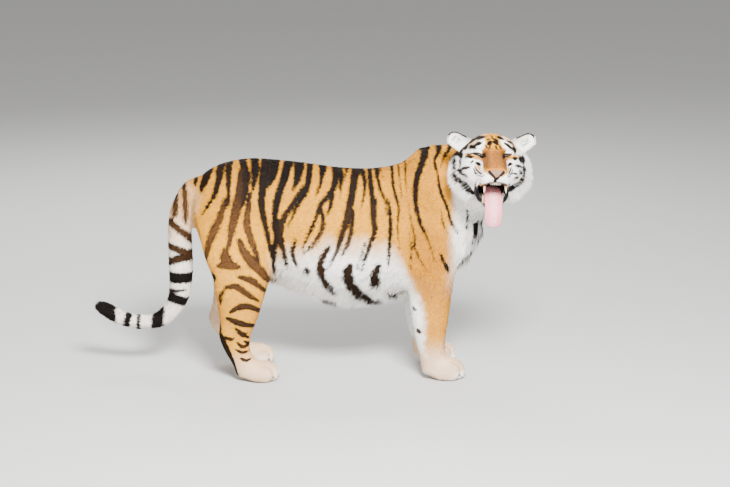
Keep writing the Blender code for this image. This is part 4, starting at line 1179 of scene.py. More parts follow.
# The way the hairs lie, along x, y and z, and in head axes on the ruff
NECK_LIE = (-0.55, 0.35, -0.75)
UPPER_LEG_LIE = (-0.35, 0.0, -1.0)
LOWER_LEG_LIE = (-0.08, 0.0, -1.0)
FOOT_LIE = (0.8, 0.0, -0.6)
BELLY_LIE = (-0.6, 0.0, -1.2)
CHEST_LIE = (-0.1, 0.0, -1.2)
RUFF_LIE = (0.75, -0.45, -0.75)
RUFF_SHARE = 1.6
HAIR_START = np.array((0.0, 0.185, -0.070))    # hairs of the head lie away from this place
EAR_HAIR_START = EAR_BASE * 0.8


def tuft_sizes(at):
    """Length, half width, density and lift at each place."""
    table = sum(at.share[name][:, None] * np.array(row) for name, row in TUFTS.items())
    for zone, row in TUFT_ZONES.items():
        amount = getattr(at, zone)[:, None]
        table = table * (1 - amount) + np.array(row) * amount
    return table


def rows_of(at, x, y, z):
    """Three numbers, each one for all or one for each place, as a row for each place."""
    return np.stack([part + np.zeros(len(at.x)) for part in (x, y, z)], axis=1)


def lie_of_coat(at):
    """The way the hairs lie, as a direction along the body at each place."""
    low = smoothstep(0.85, 0.50, at.z)
    lie = rows_of(at, -1.0, at.side * 0.05, -0.22 - 0.55 * low)
    back = smoothstep(-0.63, -0.74, at.x)
    ways = {
        "neck": rows_of(at, *NECK_LIE),
        "upper_leg": rows_of(at, *UPPER_LEG_LIE),
        "lower_leg": rows_of(at, *LOWER_LEG_LIE),
        "foot": rows_of(at, *FOOT_LIE),
        "tail": rows_of(at, -0.08 - back, 0.0, -1 + 1.15 * back),
        "head": unit(at.local - HAIR_START) @ HEAD_AXES,
    }
    ear_start = EAR_HAIR_START * rows_of(at, at.head_side, 1.0, 1.0)
    ways["ear"] = unit(at.local - ear_start) @ HEAD_AXES
    lie = lie * (1 - sum(at.share[name] for name in ways))[:, None]
    lie = lie + sum(at.share[name][:, None] * unit(way) for name, way in ways.items())
    out, ahead, up = RUFF_LIE
    ruff = rows_of(at, out * at.head_side, ahead, up) @ HEAD_AXES
    lie = lie + at.ruff[:, None] * RUFF_SHARE * unit(ruff)
    lie = lie + at.belly[:, None] * np.array(BELLY_LIE)
    lie = lie + at.chest[:, None] * np.array(CHEST_LIE)
    return lie


def make_coat(skin, at, pairs):
    """Tufts of thin tapered blades over the skin, shared out between pieces that each cover it all."""
    mesh = skin.data
    mesh.calc_loop_triangles()
    corners = np.empty(3 * len(mesh.loop_triangles), np.int32)
    mesh.loop_triangles.foreach_get("vertices", corners)
    corners = corners.reshape(-1, 3)
    sizes = tuft_sizes(at)
    lie = spread(lie_of_coat(at), pairs, LIE_ROUNDS)
    marks, finish = read(mesh, "marks"), read(mesh, "finish")
    bald = np.clip(finish[:, 1] + finish[:, 2] + at.bare, 0, 1)
    a, b, c = (at.points[corners[:, k]] for k in range(3))
    area = 0.5 * np.linalg.norm(np.cross(b - a, c - a), axis=1)
    wanted = area * sizes[corners, 2].mean(1) * (bald[corners].max(1) < 0.5)
    wanted *= min(1.0, TUFT_BUDGET / wanted.sum())
    total = np.cumsum(wanted)
    count = int(total[-1])
    pick = np.searchsorted(total, np.arange(count) + random.random(count))
    pick = np.minimum(pick, len(corners) - 1)
    r = np.sort(random.random((count, 2)), axis=1)
    weight = np.stack([r[:, 0], r[:, 1] - r[:, 0], 1 - r[:, 1]], axis=1)[:, :, None]

    def at_root(values):
        values = values.reshape(len(values), -1)
        return (values[corners[pick]] * weight).sum(1)

    root = at_root(at.points)
    normal = unit(at_root(at.normals))
    flow = at_root(lie)
    flow = unit(flow - normal * (flow * normal).sum(1, keepdims=True))
    size = at_root(sizes)
    triangles = [tuple(face) for face in corners.tolist()]
    tree = BVHTree.FromPolygons([Vector(p) for p in at.points], triangles)
    stations = [at_root(marks)]
    follow = 1.0 - MARK_STRAY * random.random(count) * smoothstep(*STRAY_LENGTHS, size[:, 0])
    for reach in (0.5, 1.0):
        spots = root + flow * (size[:, 0] * reach * follow)[:, None]
        stations.append(marks_under(tree, corners, at.points, marks, spots))
    carried = np.hstack([*stations, at_root(finish)])
    chart = unwrap(root, at.chart[corners[pick, 0]])
    tufts = (root, normal, flow, size, carried, chart)
    for k in range(COAT_PIECES):
        add_tufts(f"coat_layer_{k + 1}", *(values[k::COAT_PIECES] for values in tufts))


def marks_under(tree, corners, points, marks, spots):
    """The skin's marks at the places on it nearest to the given spots."""
    found = [tree.find_nearest(Vector(spot)) for spot in spots]
    place = np.array([tuple(hit[0]) for hit in found])
    face = corners[np.array([hit[2] for hit in found])]
    a, b, c = (points[face[:, k]] for k in range(3))
    one, two, at = b - a, c - a, place - a
    ones, twos, cross = (one * one).sum(1), (two * two).sum(1), (one * two).sum(1)
    under = np.maximum(ones * twos - cross ** 2, 1e-16)
    s = ((at * one).sum(1) * twos - (at * two).sum(1) * cross) / under
    t = ((at * two).sum(1) * ones - (at * one).sum(1) * cross) / under
    weight = np.stack([1 - s - t, s, t], axis=1)[:, :, None]
    return (marks[face] * weight).sum(1)


def blade_mesh(name, points):
    """Mesh of many blades, each of one face at its tip and two below."""
    blades = len(points) // BLADE_POINTS
    first = BLADE_POINTS * np.arange(blades)[:, None, None]
    faces = (first + np.array(BLADE_FACES)).reshape(-1, 3)
    mesh = bpy.data.meshes.new(name)
    mesh.vertices.add(len(points))
    mesh.vertices.foreach_set("co", points.astype(np.float32).ravel())
    mesh.loops.add(faces.size)
    mesh.loops.foreach_set("vertex_index", faces.astype(np.int32).ravel())
    mesh.polygons.add(len(faces))
    mesh.polygons.foreach_set("loop_start", np.arange(0, faces.size, 3, dtype=np.int32))
    smooth_shade(mesh)
    mesh.update(calc_edges=True)
    return mesh, faces


def add_tufts(name, *tufts):
    """One piece of the coat. Each tuft has its root, the skin's normal and the coat's flow there,
    its size, the marks it carries and its place in the unwrap."""
    count = len(tufts[0])
    blades = count * BLADES
    root, normal, flow, size, carried, chart = (np.repeat(values, BLADES, axis=0) for values in tufts)
    slot = np.tile(np.arange(BLADES) - (BLADES - 1) / 2, count)
    length, half, _, lift = size.T
    length = length * random.uniform(*BLADE_LENGTHS, blades)
    half = half * random.uniform(*BLADE_WIDTHS, blades)
    lift = np.radians(lift) * random.uniform(*BLADE_LIFTS, blades)
    turn = slot * BLADE_FAN + random.normal(0, BLADE_TURN, blades)
    across = np.cross(normal, flow)
    way = flow * np.cos(turn)[:, None] + across * np.sin(turn)[:, None]
    side = np.cross(normal, way)
    roll = random.normal(0, BLADE_ROLL, blades)
    side = side * np.cos(roll)[:, None] + normal * np.sin(roll)[:, None]
    start = root + across * (slot * half * BLADE_GAP)[:, None] - normal * BLADE_ROOT
    droop = (length * smoothstep(*LONG_HAIR, length) * BLADE_DROOP)[:, None] * np.array((0.0, 0.0, -1.0))
    rows = []
    for t, wide in BLADE_ROWS:
        rise = np.sin(lift) * length * t * (1 - BLADE_FLATTEN * t)
        centre = start + way * (np.cos(lift) * length * t)[:, None] + normal * rise[:, None] + droop * t * t
        ends = (-1, 1) if wide else (0,)
        rows += [centre + end * side * (half * wide)[:, None] for end in ends]
    points = np.stack(rows, axis=1).reshape(-1, 3)
    points[:, 2] = np.maximum(points[:, 2], LEAST_RISE)
    mesh, faces = blade_mesh(name, points)
    along = np.tile(np.array([BLADE_ROWS[k][0] for k in BLADE_STATION]), blades)
    lot = np.repeat(random.random(count), BLADES * BLADE_POINTS)
    fine = np.repeat(random.random(blades), BLADE_POINTS)
    marks, finish = carried[:, :9].reshape(-1, 3, 3), carried[:, 9:]
    store(mesh, "marks", marks[:, BLADE_STATION].reshape(-1, 3))
    store(mesh, "finish", np.repeat(finish, BLADE_POINTS, axis=0))
    store(mesh, "tuft", np.stack([along, lot, fine], axis=1))
    lean = unit(np.cross(way, side))
    lean = lean * np.sign((lean * normal).sum(1, keepdims=True))
    shade = unit(LEAN_SHADE * lean + SKIN_SHADE * normal)
    shade = np.repeat(shade, BLADE_POINTS, axis=0).astype(np.float32)
    mesh.normals_split_custom_set_from_vertices(shade)
    patch = np.tile(np.array(PATCH), (blades, 1)) * PATCH_HALF
    shift = np.repeat(slot, BLADE_POINTS)[:, None] * np.array((PATCH_STEP, 0.0))
    flat = np.repeat(chart, BLADE_POINTS, axis=0) + patch + shift
    layer = mesh.uv_layers.new(name="OFBake")
    layer.uv.foreach_set("vector", flat[faces.ravel()].astype(np.float32).ravel())
    mesh.materials.append(material("coat tufts"))
    item = show(name, mesh)
    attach(item, "root")


# ---------------------------------------------------------------- unwrap of the skin's own shape
# Charts: first corner in the unwrap, scale, and how the part is rolled flat
CHARTS = {
    "trunk": (0.02, 0.02, 1.0, "along"),
    "neck": (0.02, 1.85, 1.0, "along"),
    "head": (1.42, 1.62, 1.45, "ahead"),
    "ear_left": (0.50, 2.62, 1.4, "plain"),
    "ear_right": (0.72, 2.62, 1.4, "plain"),
    "front_leg_right": (1.42, 0.02, 1.0, "upright"),
    "front_leg_left": (1.42, 0.80, 1.0, "upright"),
    "hind_leg_right": (2.05, 0.02, 1.0, "upright"),
    "hind_leg_left": (2.05, 0.80, 1.0, "upright"),
    "tail_middle": (0.48, 1.85, 1.0, "upright"),
    "tail_tip": (0.90, 1.85, 1.0, "along"),
}
CHART_NAMES = list(CHARTS)
UNWRAP_SIDE = 2.85           # metres of skin across the whole unwrap
LEG_ROUND = 0.8              # a leg's girth against that of its box
HEAD_ROLL_MIDDLE = np.array((0.0, -0.10, -0.05))         # the head is rolled flat round this place
HEAD_ROLL_RADIUS = 0.13
EAR_BACKS = 0.10             # the far faces of an ear lie this much higher in the unwrap


def chart_of(node):
    if node.startswith(("front_", "hind_")):
        return CHART_NAMES.index(node.split("_")[0] + "_leg_" + node.rsplit("_", 1)[1])
    if node in ("tail_base", "tail_middle"):
        return CHART_NAMES.index("tail_middle")
    if node in ("tail_lower", "tail_tip"):
        return CHART_NAMES.index("tail_tip")
    return CHART_NAMES.index(node) if node in CHARTS else CHART_NAMES.index("head")


def chart_boxes():
    """Middle and half size of each chart's part, from the boxes of its nodes."""
    lows = [Vector((9, 9, 9)) for _ in CHART_NAMES]
    highs = [Vector((-9, -9, -9)) for _ in CHART_NAMES]
    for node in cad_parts:
        low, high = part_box(node)
        k = chart_of(node)
        lows[k] = Vector(map(min, lows[k], low))
        highs[k] = Vector(map(max, highs[k], high))
    middles = np.array([(low + high) / 2 for low, high in zip(lows, highs)])
    return middles, (np.array(highs) - np.array(lows)) / 2


def unwrap(points, charts):
    """Place of each point on the skin rolled flat, part by part, in the unit square."""
    middles, halves = chart_boxes()
    flat = np.zeros((len(points), 2))
    for k, (right, up, scale, kind) in enumerate(CHARTS.values()):
        own = charts == k
        rel, half = points[own] - middles[k], halves[k]
        if kind == "along":
            radius = (half[1] + half[2]) / 2
            place = (rel[:, 0] + half[0], (np.arctan2(rel[:, 1], rel[:, 2]) + math.pi) * radius)
        elif kind == "upright":
            radius = (half[0] + half[1]) / 2 * LEG_ROUND
            place = ((np.arctan2(rel[:, 1], rel[:, 0]) + math.pi) * radius, rel[:, 2] + half[2])
        elif kind == "ahead":
            local = unit(to_head(points[own]) - HEAD_ROLL_MIDDLE)
            angle, turn = np.arccos(np.clip(local[:, 1], -1, 1)), np.arctan2(local[:, 2], local[:, 0])
            place = [HEAD_ROLL_RADIUS * (angle * part(turn) + math.pi) for part in (np.cos, np.sin)]
        else:
            place = (rel[:, 0] + half[0], rel[:, 2] + half[2] + EAR_BACKS * (rel[:, 1] > 0))
        flat[own] = np.stack(place, 1) * scale + (right, up)
    return flat / UNWRAP_SIDE


# ---------------------------------------------------------------- materials
MATERIALS = {}


def material(name):
    return MATERIALS[name]


class Nodes:
    """Short-hand for building a node tree."""

    def __init__(self, tree):
        self.tree = tree

    def add(self, kind, **settings):
        node = self.tree.nodes.new(kind)
        for key, value in settings.items():
            setattr(node, key, value)
        return node

    def link(self, source, target):
        if isinstance(source, (int, float, tuple)):
            target.default_value = source
        else:
            self.tree.links.new(source, target)

    def math(self, operation, *inputs, clamp=False):
        node = self.add("ShaderNodeMath", operation=operation, use_clamp=clamp)
        for value, socket in zip(inputs, node.inputs):
            self.link(value, socket)
        return node.outputs[0]

    def ramp(self, value, low, high, start=0.0, end=1.0):
        node = self.add("ShaderNodeMapRange", interpolation_type="SMOOTHSTEP")
        keys = ("Value", "From Min", "From Max", "To Min", "To Max")
        for key, number in zip(keys, (value, low, high, start, end)):
            self.link(number, node.inputs[key])
        return node.outputs["Result"]

    def blend(self, factor, one, other, kind="MIX"):
        node = self.add("ShaderNodeMix", data_type="RGBA", blend_type=kind)
        node.clamp_factor = True
        self.link(factor, node.inputs[0])
        self.link(one, node.inputs[6])
        self.link(other, node.inputs[7])
        return node.outputs[2]

    def noise(self, scale, detail=3.0, rough=0.55, vector=None):
        node = self.add("ShaderNodeTexNoise")
        node.inputs["Scale"].default_value = scale
        node.inputs["Detail"].default_value = detail
        node.inputs["Roughness"].default_value = rough
        self.tree.links.new(vector or self.place(), node.inputs["Vector"])
        return node.outputs["Fac"]

    def about_zero(self, value, reach):
        """A value of 0 to 1 turned into one of minus to plus half the reach."""
        return self.math("MULTIPLY", self.math("SUBTRACT", value, 0.5), reach)

    def amount(self, name):
        return self.add("ShaderNodeAttribute", attribute_name=name).outputs["Fac"]

    def grey(self, value):
        node = self.add("ShaderNodeCombineColor")
        for socket in node.inputs[:3]:
            self.tree.links.new(value, socket)
        return node.outputs[0]

    def bump(self, height, strength, distance):
        node = self.add("ShaderNodeBump")
        node.inputs["Strength"].default_value = strength
        node.inputs["Distance"].default_value = distance
        self.tree.links.new(height, node.inputs["Height"])
        return node.outputs[0]

    def cells(self, scale):
        node = self.add("ShaderNodeTexVoronoi")
        node.inputs["Scale"].default_value = scale
        self.tree.links.new(self.place(), node.inputs["Vector"])
        return node.outputs["Distance"]

    def split(self, name):
        source = self.add("ShaderNodeAttribute", attribute_name=name)
        parts = self.add("ShaderNodeSeparateXYZ")
        self.tree.links.new(source.outputs["Vector"], parts.inputs[0])
        return parts.outputs

    def place(self):
        return self.add("ShaderNodeTexCoord").outputs["Object"]


BLACK = (0.006, 0.004, 0.003, 1)
BROWN = (0.105, 0.043, 0.012, 1)
PALE_ORANGE = (0.70, 0.315, 0.006, 1)
DEEP_ORANGE = (0.30, 0.098, 0.001, 1)
AMBER = (0.145, 0.050, 0.006, 1)
WHITE = (0.88, 0.86, 0.80, 1)
LIP = (0.012, 0.010, 0.011, 1)
GUM = (0.11, 0.035, 0.030, 1)


COAT_INPUTS = ("Stripe Distance", "Brownness", "Ground", "Richness", "Lips", "Mouth")


def markings_group():
    """Colour of the coat from stripe distance, brownness, ground and depth of colour."""
    tree = bpy.data.node_groups.new("coat markings", "ShaderNodeTree")
    for label in COAT_INPUTS:
        tree.interface.new_socket(label, in_out="INPUT", socket_type="NodeSocketFloat")
    tree.interface.new_socket("Colour", in_out="OUTPUT", socket_type="NodeSocketColor")
    tree.interface.new_socket("Wet", in_out="OUTPUT", socket_type="NodeSocketFloat")
    n = Nodes(tree)
    given, out = n.add("NodeGroupInput").outputs, n.add("NodeGroupOutput").inputs
    where = n.place()
    soft = n.noise(9.0, 2.0, vector=where)
    fine = n.noise(420.0, 2.0, vector=where)
    streaks = n.noise(170.0, 3.0, 0.65, where)
    edge = n.math("ADD", given["Stripe Distance"], n.about_zero(fine, 0.0035))
    stripe = n.ramp(edge, 0.0012, -0.0010)
    core = n.ramp(edge, -0.002, -0.009)
    core = n.math("MULTIPLY", core, n.ramp(streaks, 0.36, 0.62, 0.25, 1.25))
    brown = n.math("MULTIPLY", given["Brownness"], n.math("ADD", 0.12, core), clamp=True)
    mark = n.blend(brown, BLACK, BROWN)
    uneven = n.math("ADD", n.about_zero(soft, 0.5), n.ramp(streaks, 0.35, 0.65, -0.22, 0.22))
    richness = n.math("ADD", given["Richness"], uneven, clamp=True)
    orange = n.blend(richness, PALE_ORANGE, DEEP_ORANGE)
    amber = n.ramp(n.math("ADD", given["Richness"], uneven), 0.95, 1.75)
    orange = n.blend(amber, orange, AMBER)
    ground = n.math("ADD", given["Ground"], n.about_zero(fine, 0.25), clamp=True)
    colour = n.blend(stripe, n.blend(ground, WHITE, orange), mark)
    colour = n.blend(given["Mouth"], colour, GUM)
    n.link(n.blend(given["Lips"], colour, LIP), out["Colour"])
    n.link(n.math("MAXIMUM", given["Lips"], given["Mouth"]), out["Wet"])
    return tree


def new_material(name, rough, specular):
    """Returns the short-hand for its node tree and the inputs of its shader."""
    made = bpy.data.materials.new(name)
    MATERIALS[name] = made
    made.use_nodes = True
    shader = made.node_tree.nodes["Principled BSDF"]
    shader.inputs["Roughness"].default_value = rough
    shader.inputs["Specular IOR Level"].default_value = specular
    return Nodes(made.node_tree), shader.inputs


def use_markings(n, tree):
    coat = n.add("ShaderNodeGroup", node_tree=tree)
    marks, finish = n.split("marks"), n.split("finish")
    for label, source in zip(COAT_INPUTS, (*marks[:3], *finish[:3])):
        n.link(source, coat.inputs[label])
    return coat.outputs


def make_coat_materials():
    tree = markings_group()
    n, shader = new_material("striped skin", 0.80, 0.08)
    coat = use_markings(n, tree)
    n.link(coat["Colour"], shader["Base Color"])
    n.link(n.ramp(coat["Wet"], 0.0, 1.0, 0.75, 0.32), shader["Roughness"])
    n.link(n.bump(n.noise(650.0), 0.35, 0.002), shader["Normal"])

    n, shader = new_material("coat tufts", 0.75, 0.08)
    coat = use_markings(n, tree)
    along, lot, fine = n.split("tuft")
    # Painted shade: each blade is darker at its root, down in the coat near the skin, and lighter at its tip;
    # lot and fine add random tone from tuft to tuft and from blade to blade
    light = n.math("ADD", n.ramp(along, 0.0, 0.9, 0.62, 1.10), n.about_zero(lot, 0.34))
    light = n.math("ADD", light, n.about_zero(fine, 0.26))
    n.link(n.blend(1.0, coat["Colour"], n.grey(light), "MULTIPLY"), shader["Base Color"])


# ---------------------------------------------------------------- staging
FLOOR_HALF = 30
FLOOR_COLOUR = (0.50, 0.50, 0.49, 1)
SKY_COLOUR, SKY_STRENGTH = (1.0, 0.99, 0.97, 1), 0.62
# Lamps: place from the middle of the tiger, side of the square, watts
LAMPS = {
    "key light": ((1.0, -4.2, 4.1), 1.5, 1420),
    "fill light": ((-3.6, -3.6, 2.0), 3.5, 130),
    "rim light": ((-1.0, 4.0, 4.2), 3.0, 300),
}
LAMPS_AIM_Z = 0.55
CAMERA_X = 0.2356
CAMERA_AIM_Z = 0.575
CAMERA_DISTANCE = 9.0
CAMERA_RISE = math.radians(13.0)
CAMERA_LENS = 101            # millimetres


def look_from(item, place, aim):
    bpy.context.scene.collection.objects.link(item)
    item.location = place
    item.rotation_euler = (aim - item.location).to_track_quat("-Z", "Y").to_euler()


def make_stage():
    mesh = bpy.data.meshes.new("floor")
    corners = [(x * FLOOR_HALF, y * FLOOR_HALF, 0) for x, y in ((-1, -1), (1, -1), (1, 1), (-1, 1))]
    mesh.from_pydata(corners, [], [(0, 1, 2, 3)])
    floor = show("floor", mesh)
    n, shader = new_material("pale floor", 0.9, 0.1)
    shader["Base Color"].default_value = FLOOR_COLOUR
    mesh.materials.append(material("pale floor"))
    world = bpy.data.worlds.new("studio")
    bpy.context.scene.world = world
    world.use_nodes = True
    sky = world.node_tree.nodes["Background"].inputs
    sky["Color"].default_value = SKY_COLOUR
    sky["Strength"].default_value = SKY_STRENGTH
    middle_x = (CAD_LOW.x + CAD_HIGH.x) / 2
    for name, (place, side, watts) in LAMPS.items():
        lamp = bpy.data.lights.new(name, "AREA")
        lamp.size = side
        lamp.energy = watts
        aim = Vector((middle_x, MID_Y, LAMPS_AIM_Z))
        look_from(bpy.data.objects.new(name, lamp), Vector(place) + Vector((middle_x, 0, 0)), aim)
    camera = bpy.data.objects.new("camera", bpy.data.cameras.new("camera"))
    camera.data.lens = CAMERA_LENS
    aim = Vector((CAMERA_X, MID_Y, CAMERA_AIM_Z))
    away = Vector((0, -math.cos(CAMERA_RISE), math.sin(CAMERA_RISE)))
    look_from(camera, aim + CAMERA_DISTANCE * away, aim)
    bpy.context.scene.camera = camera


# ---------------------------------------------------------------- nose, tongue, teeth, eyes
NOSE_TOP, NOSE_BOTTOM = -0.0610, -0.1010
# Half width of the leather from top (0) to bottom (1)
NOSE_SHAPE = [(0.0, 0.026), (0.12, 0.0350), (0.28, 0.0360), (0.50, 0.0275), (0.75, 0.0140), (1.0, 0.0065)]
NOSE_ROWS, NOSE_COLUMNS = 44, 56
NOSE_EDGE = 0.001            # the leather is wider than its shape by this, under the coat's edge
NOSE_FAR = 0.3               # the leather is laid on from here, ahead of the muzzle
NOSE_NO_SKIN = 0.118         # its place where there is no skin behind it
NOSE_THICK, NOSE_SUNK = 0.0052, 0.0022         # its crown over the skin, and its edge below
# Slit of each nostril: side, up, half width; then its depth and the rim round it
NOSTRIL = [(0.0310, -0.0660, 0.0030), (0.0245, -0.0765, 0.0048), (0.0100, -0.0905, 0.0030)]
NOSTRIL_DEEP = 0.0080
NOSTRIL_RIM = (0.0016, 0.004, 0.003)           # how high, where, how wide
NOSE_GROOVE, NOSE_GROOVE_HALF = 0.0016, 0.0016


def nose_gap(local):
    """Distance outside the outline of the nose leather, seen from ahead."""
    t = (local[:, 2] - NOSE_TOP) / (NOSE_BOTTOM - NOSE_TOP)
    side = np.abs(local[:, 0]) - line(NOSE_SHAPE, t)
    gap = np.maximum(side, np.maximum(-t, t - 1) * (NOSE_TOP - NOSE_BOTTOM))
    return np.where(local[:, 1] > 0.08, gap, NO_MARK)


def sheet(rows, name):
    """Open mesh over a grid of points."""
    rows = np.array(rows)
    height, width = rows.shape[:2]
    faces = []
    for i in range(height - 1):
        for j in range(width - 1):
            k = i * width + j
            faces.append((k, k + 1, k + width + 1, k + width))
    mesh = bpy.data.meshes.new(name)
    mesh.from_pydata([tuple(p) for p in rows.reshape(-1, 3)], [], faces)
    return mesh


def finish_piece(name, mesh, finish, nodes=()):
    """Show a piece in its finish, riding on the body, in place of the nodes it stands for."""
    smooth_shade(mesh)
    mesh.materials.append(material(finish))
    item = show(name, mesh)
    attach(item, "root")
    if nodes:
        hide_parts(*nodes)


def make_nose(tree):
    """Leather laid over the tip of the muzzle, with its nostrils and middle groove."""
    rows, dark = [], []
    nostril = [np.array(NOSTRIL)]
    high, far, wide = NOSTRIL_RIM
    for t in np.linspace(-0.03, 1.03, NOSE_ROWS):
        up = NOSE_TOP + (NOSE_BOTTOM - NOSE_TOP) * t
        half = line(NOSE_SHAPE, np.clip(t, 0, 1)) + NOSE_EDGE
        row = []
        for q in np.linspace(-1, 1, NOSE_COLUMNS):
            side = q * half
            hit = tree.ray_cast(Vector(from_head((side, NOSE_FAR, up))), -Vector(HEAD_AXES[1]))
            depth = NOSE_FAR - hit[3] if hit[0] else NOSE_NO_SKIN
            edge = min(1.0, 5.0 * (1 - abs(q))) * min(1.0, 7.0 * max(0.0, min(t, 1 - t) + 0.03))
            slit = mark_field(np.array([(abs(side), up)]), nostril, NO_MARK)[0]
            hollow = float(smoothstep(0.0020, -0.0020, slit))
            depth += NOSE_THICK * edge ** 0.6 - NOSE_SUNK - NOSTRIL_DEEP * hollow
            depth += high * math.exp(-((slit - far) / wide) ** 2)
            groove = math.exp(-(side / NOSE_GROOVE_HALF) ** 2) * float(smoothstep(0.25, 0.6, t))
            depth -= NOSE_GROOVE * groove
            row.append(from_head((side, depth, up)))
            dark.append(max(float(smoothstep(0.0030, 0.0008, slit)), float(smoothstep(0.68, 0.80, t))))
        rows.append(row)
    mesh = sheet(rows, "nose_leather")
    store(mesh, "dark", np.array(dark))
    finish_piece("nose_leather", mesh, "nose leather")


TONGUE = [                   # centre, half width, half thickness, in head axes
    ((0.0, -0.062, -0.142), 0.028, 0.011),
    ((0.0, -0.020, -0.150), 0.034, 0.012),
    ((0.0, 0.018, -0.172), 0.037, 0.011),
    ((0.0, 0.044, -0.202), 0.037, 0.010),
    ((0.0, 0.057, -0.238), 0.036, 0.008),
    ((0.0, 0.056, -0.270), 0.035, 0.007),
    ((0.0, 0.050, -0.290), 0.031, 0.006),
    ((0.0, 0.046, -0.299), 0.020, 0.004),
    ((0.0, 0.045, -0.3015), 0.008, 0.002),
]
TONGUE_HALF = 0.037
TONGUE_SQUARENESS = 2.3
TONGUE_STEPS, TONGUE_RING_POINTS = 8, 72
TONGUE_GROOVE = (0.0026, 0.0050)               # depth and half width of the middle groove
TONGUE_CUP = (0.0016, 0.016, 0.010)            # depth, place and half width of the hollow beside it


def make_tongue():
    def press(side, t):
        deep, half = TONGUE_GROOVE
        groove = deep * math.exp(-(side / half) ** 2) * (1 - 0.5 * t)
        deep, out, half = TONGUE_CUP
        return groove + deep * math.exp(-((abs(side) - out) / half) ** 2)

    mesh = tube_in_head(TONGUE, TONGUE_SQUARENESS, TONGUE_STEPS, TONGUE_RING_POINTS, press)
    mesh.name = "tongue_surface"
    store(mesh, "across", np.abs(to_head(points_of(mesh))[:, 0]) / TONGUE_HALF)
    finish_piece("tongue_surface", mesh, "tongue", ("tongue",))


# Teeth in head axes: root, tip, radius; both sides unless on the middle
CANINES = [
    ((0.0430, 0.0820, -0.106), (0.0455, 0.0870, -0.158), 0.0084),
    ((0.0370, -0.0060, -0.203), (0.0420, 0.0100, -0.166), 0.0072),
]
CHEEK_TEETH = [
    ((0.0480, 0.0340, -0.114), (0.0490, 0.0350, -0.129), 0.0055),
    ((0.0510, 0.0140, -0.114), (0.0520, 0.0150, -0.134), 0.0070),
    ((0.0530, -0.0060, -0.116), (0.0540, -0.0050, -0.132), 0.0070),
    ((0.0440, -0.0300, -0.206), (0.0450, -0.0260, -0.188), 0.0060),
]
# Incisors: how many, from one to the next, how they curve back, root and tip of the middle
INCISORS = 6
INCISOR_STEP = 0.0078
INCISOR_CURVE = 8.0
INCISOR_ROOT, INCISOR_TIP, INCISOR_RADIUS = (0.098, -0.113), (0.099, -0.1245), 0.0038
SPIKE_POWER = 0.62           # below 1, a tooth or claw stays thick towards its tip
SPIKE_FLAT = 0.85


def spike(root, tip, radius, bend=0.10, rings=12, count=14):
    """Tapered curved cone from root to tip, in head axes; returns rings of points."""
    root, tip = np.array(root), np.array(tip)
    along = tip - root
    across = unit(np.cross(along, (0.0, 1.0, 0.0)))
    other = unit(np.cross(across, along))
    out = []
    for t in np.linspace(0, 1, rings):
        centre = root + along * t + other * bend * np.linalg.norm(along) * math.sin(math.pi * t)
        size = radius * (1 - t) ** SPIKE_POWER if t < 1 else radius * 0.03
        angles = np.linspace(0, 2 * math.pi, count, endpoint=False)
        girth = np.cos(angles)[:, None] * across + SPIKE_FLAT * np.sin(angles)[:, None] * other
        ring = centre + size * girth
        out.append([Vector(from_head(p)) for p in ring])
    return out


def join_lofts(name, lofts):
    build = bmesh.new()
    for rings in lofts:
        mesh = loft(rings)
        build.from_mesh(mesh)
        bpy.data.meshes.remove(mesh)
    mesh = bpy.data.meshes.new(name)
    build.to_mesh(mesh)
    build.free()
    return mesh


def make_teeth():
    lofts = []
    for root, tip, radius in CANINES + CHEEK_TEETH:
        for side in (-1, 1):
            way = np.array((side, 1, 1))
            lofts.append(spike(np.array(root) * way, np.array(tip) * way, radius))
    for k in range(INCISORS):
        side = (k - (INCISORS - 1) / 2) * INCISOR_STEP
        back = INCISOR_CURVE * side ** 2
        root, tip = ((side, ahead - back, up) for ahead, up in (INCISOR_ROOT, INCISOR_TIP))
        lofts.append(spike(root, tip, INCISOR_RADIUS, 0.0))
    mesh = join_lofts("teeth", lofts)
    side, ahead, up = to_head(points_of(mesh)).T
    stain = np.maximum(smoothstep(-0.156, -0.128, up), 0.5 * smoothstep(-0.182, -0.196, up))
    store(mesh, "stain", stain * smoothstep(0.022, 0.030, np.abs(side)))
    finish_piece("teeth", mesh, "tooth ivory")


GAZE = (0.05, 1.0, -0.10)    # outwards, ahead, up
CORNEA, CORNEA_EDGE = 0.035, 0.80              # its bulge, and its edge in radians from the gaze


def make_eyes():
    for name, side in (("left", 1), ("right", -1)):
        centre = np.array((side * EYE_SIDE, EYE_DEPTH, 0.0))
        build = bmesh.new()
        bmesh.ops.create_uvsphere(build, u_segments=64, v_segments=48, radius=EYE_RADIUS)
        mesh = bpy.data.meshes.new("eyeball_" + name)
        build.to_mesh(mesh)
        build.free()
        local = points_of(mesh)
        gaze = unit(np.array(GAZE) * (side, 1, 1))
        angle = np.arccos(np.clip(unit(local) @ gaze, -1, 1))
        local = local * (1 + CORNEA * smoothstep(CORNEA_EDGE, 0.0, angle))[:, None]
        place_points(mesh, from_head(local + centre))
        store(mesh, "gaze", angle)
        finish_piece("eyeball_" + name, mesh, "eye", ("eye_" + name,))


# ---------------------------------------------------------------- whiskers and claws
WHISKERS = 12                # on each side of the muzzle
WHISKER_ROWS = 3
WHISKER_THICK = 0.00065
WHISKER_THIN_TIP = 0.85      # share of the thickness lost at the tip
WHISKER_START = np.array((0.030, 0.118, -0.083))         # uppermost and foremost root
WHISKER_NEXT = np.array((0.009, -0.008, 0.0))            # to the next root in its row
WHISKER_LOWER = np.array((0.0, 0.0, -0.009))             # to the next row
WHISKER_LONG = (0.085, 0.018, 0.012)           # length, what each root back adds, and chance
WHISKER_SAG = np.array((0, -0.25, -0.30))
WHISKER_RINGS, WHISKER_RING_POINTS = 9, 5
CLAW_BACK, CLAW_UP = 0.013, 0.027              # root of each claw, behind the toe's tip
CLAW_WAY = np.array((0.014, 0.0, -0.012))
CLAW_RADIUS, CLAW_BEND = 0.0036, -0.22


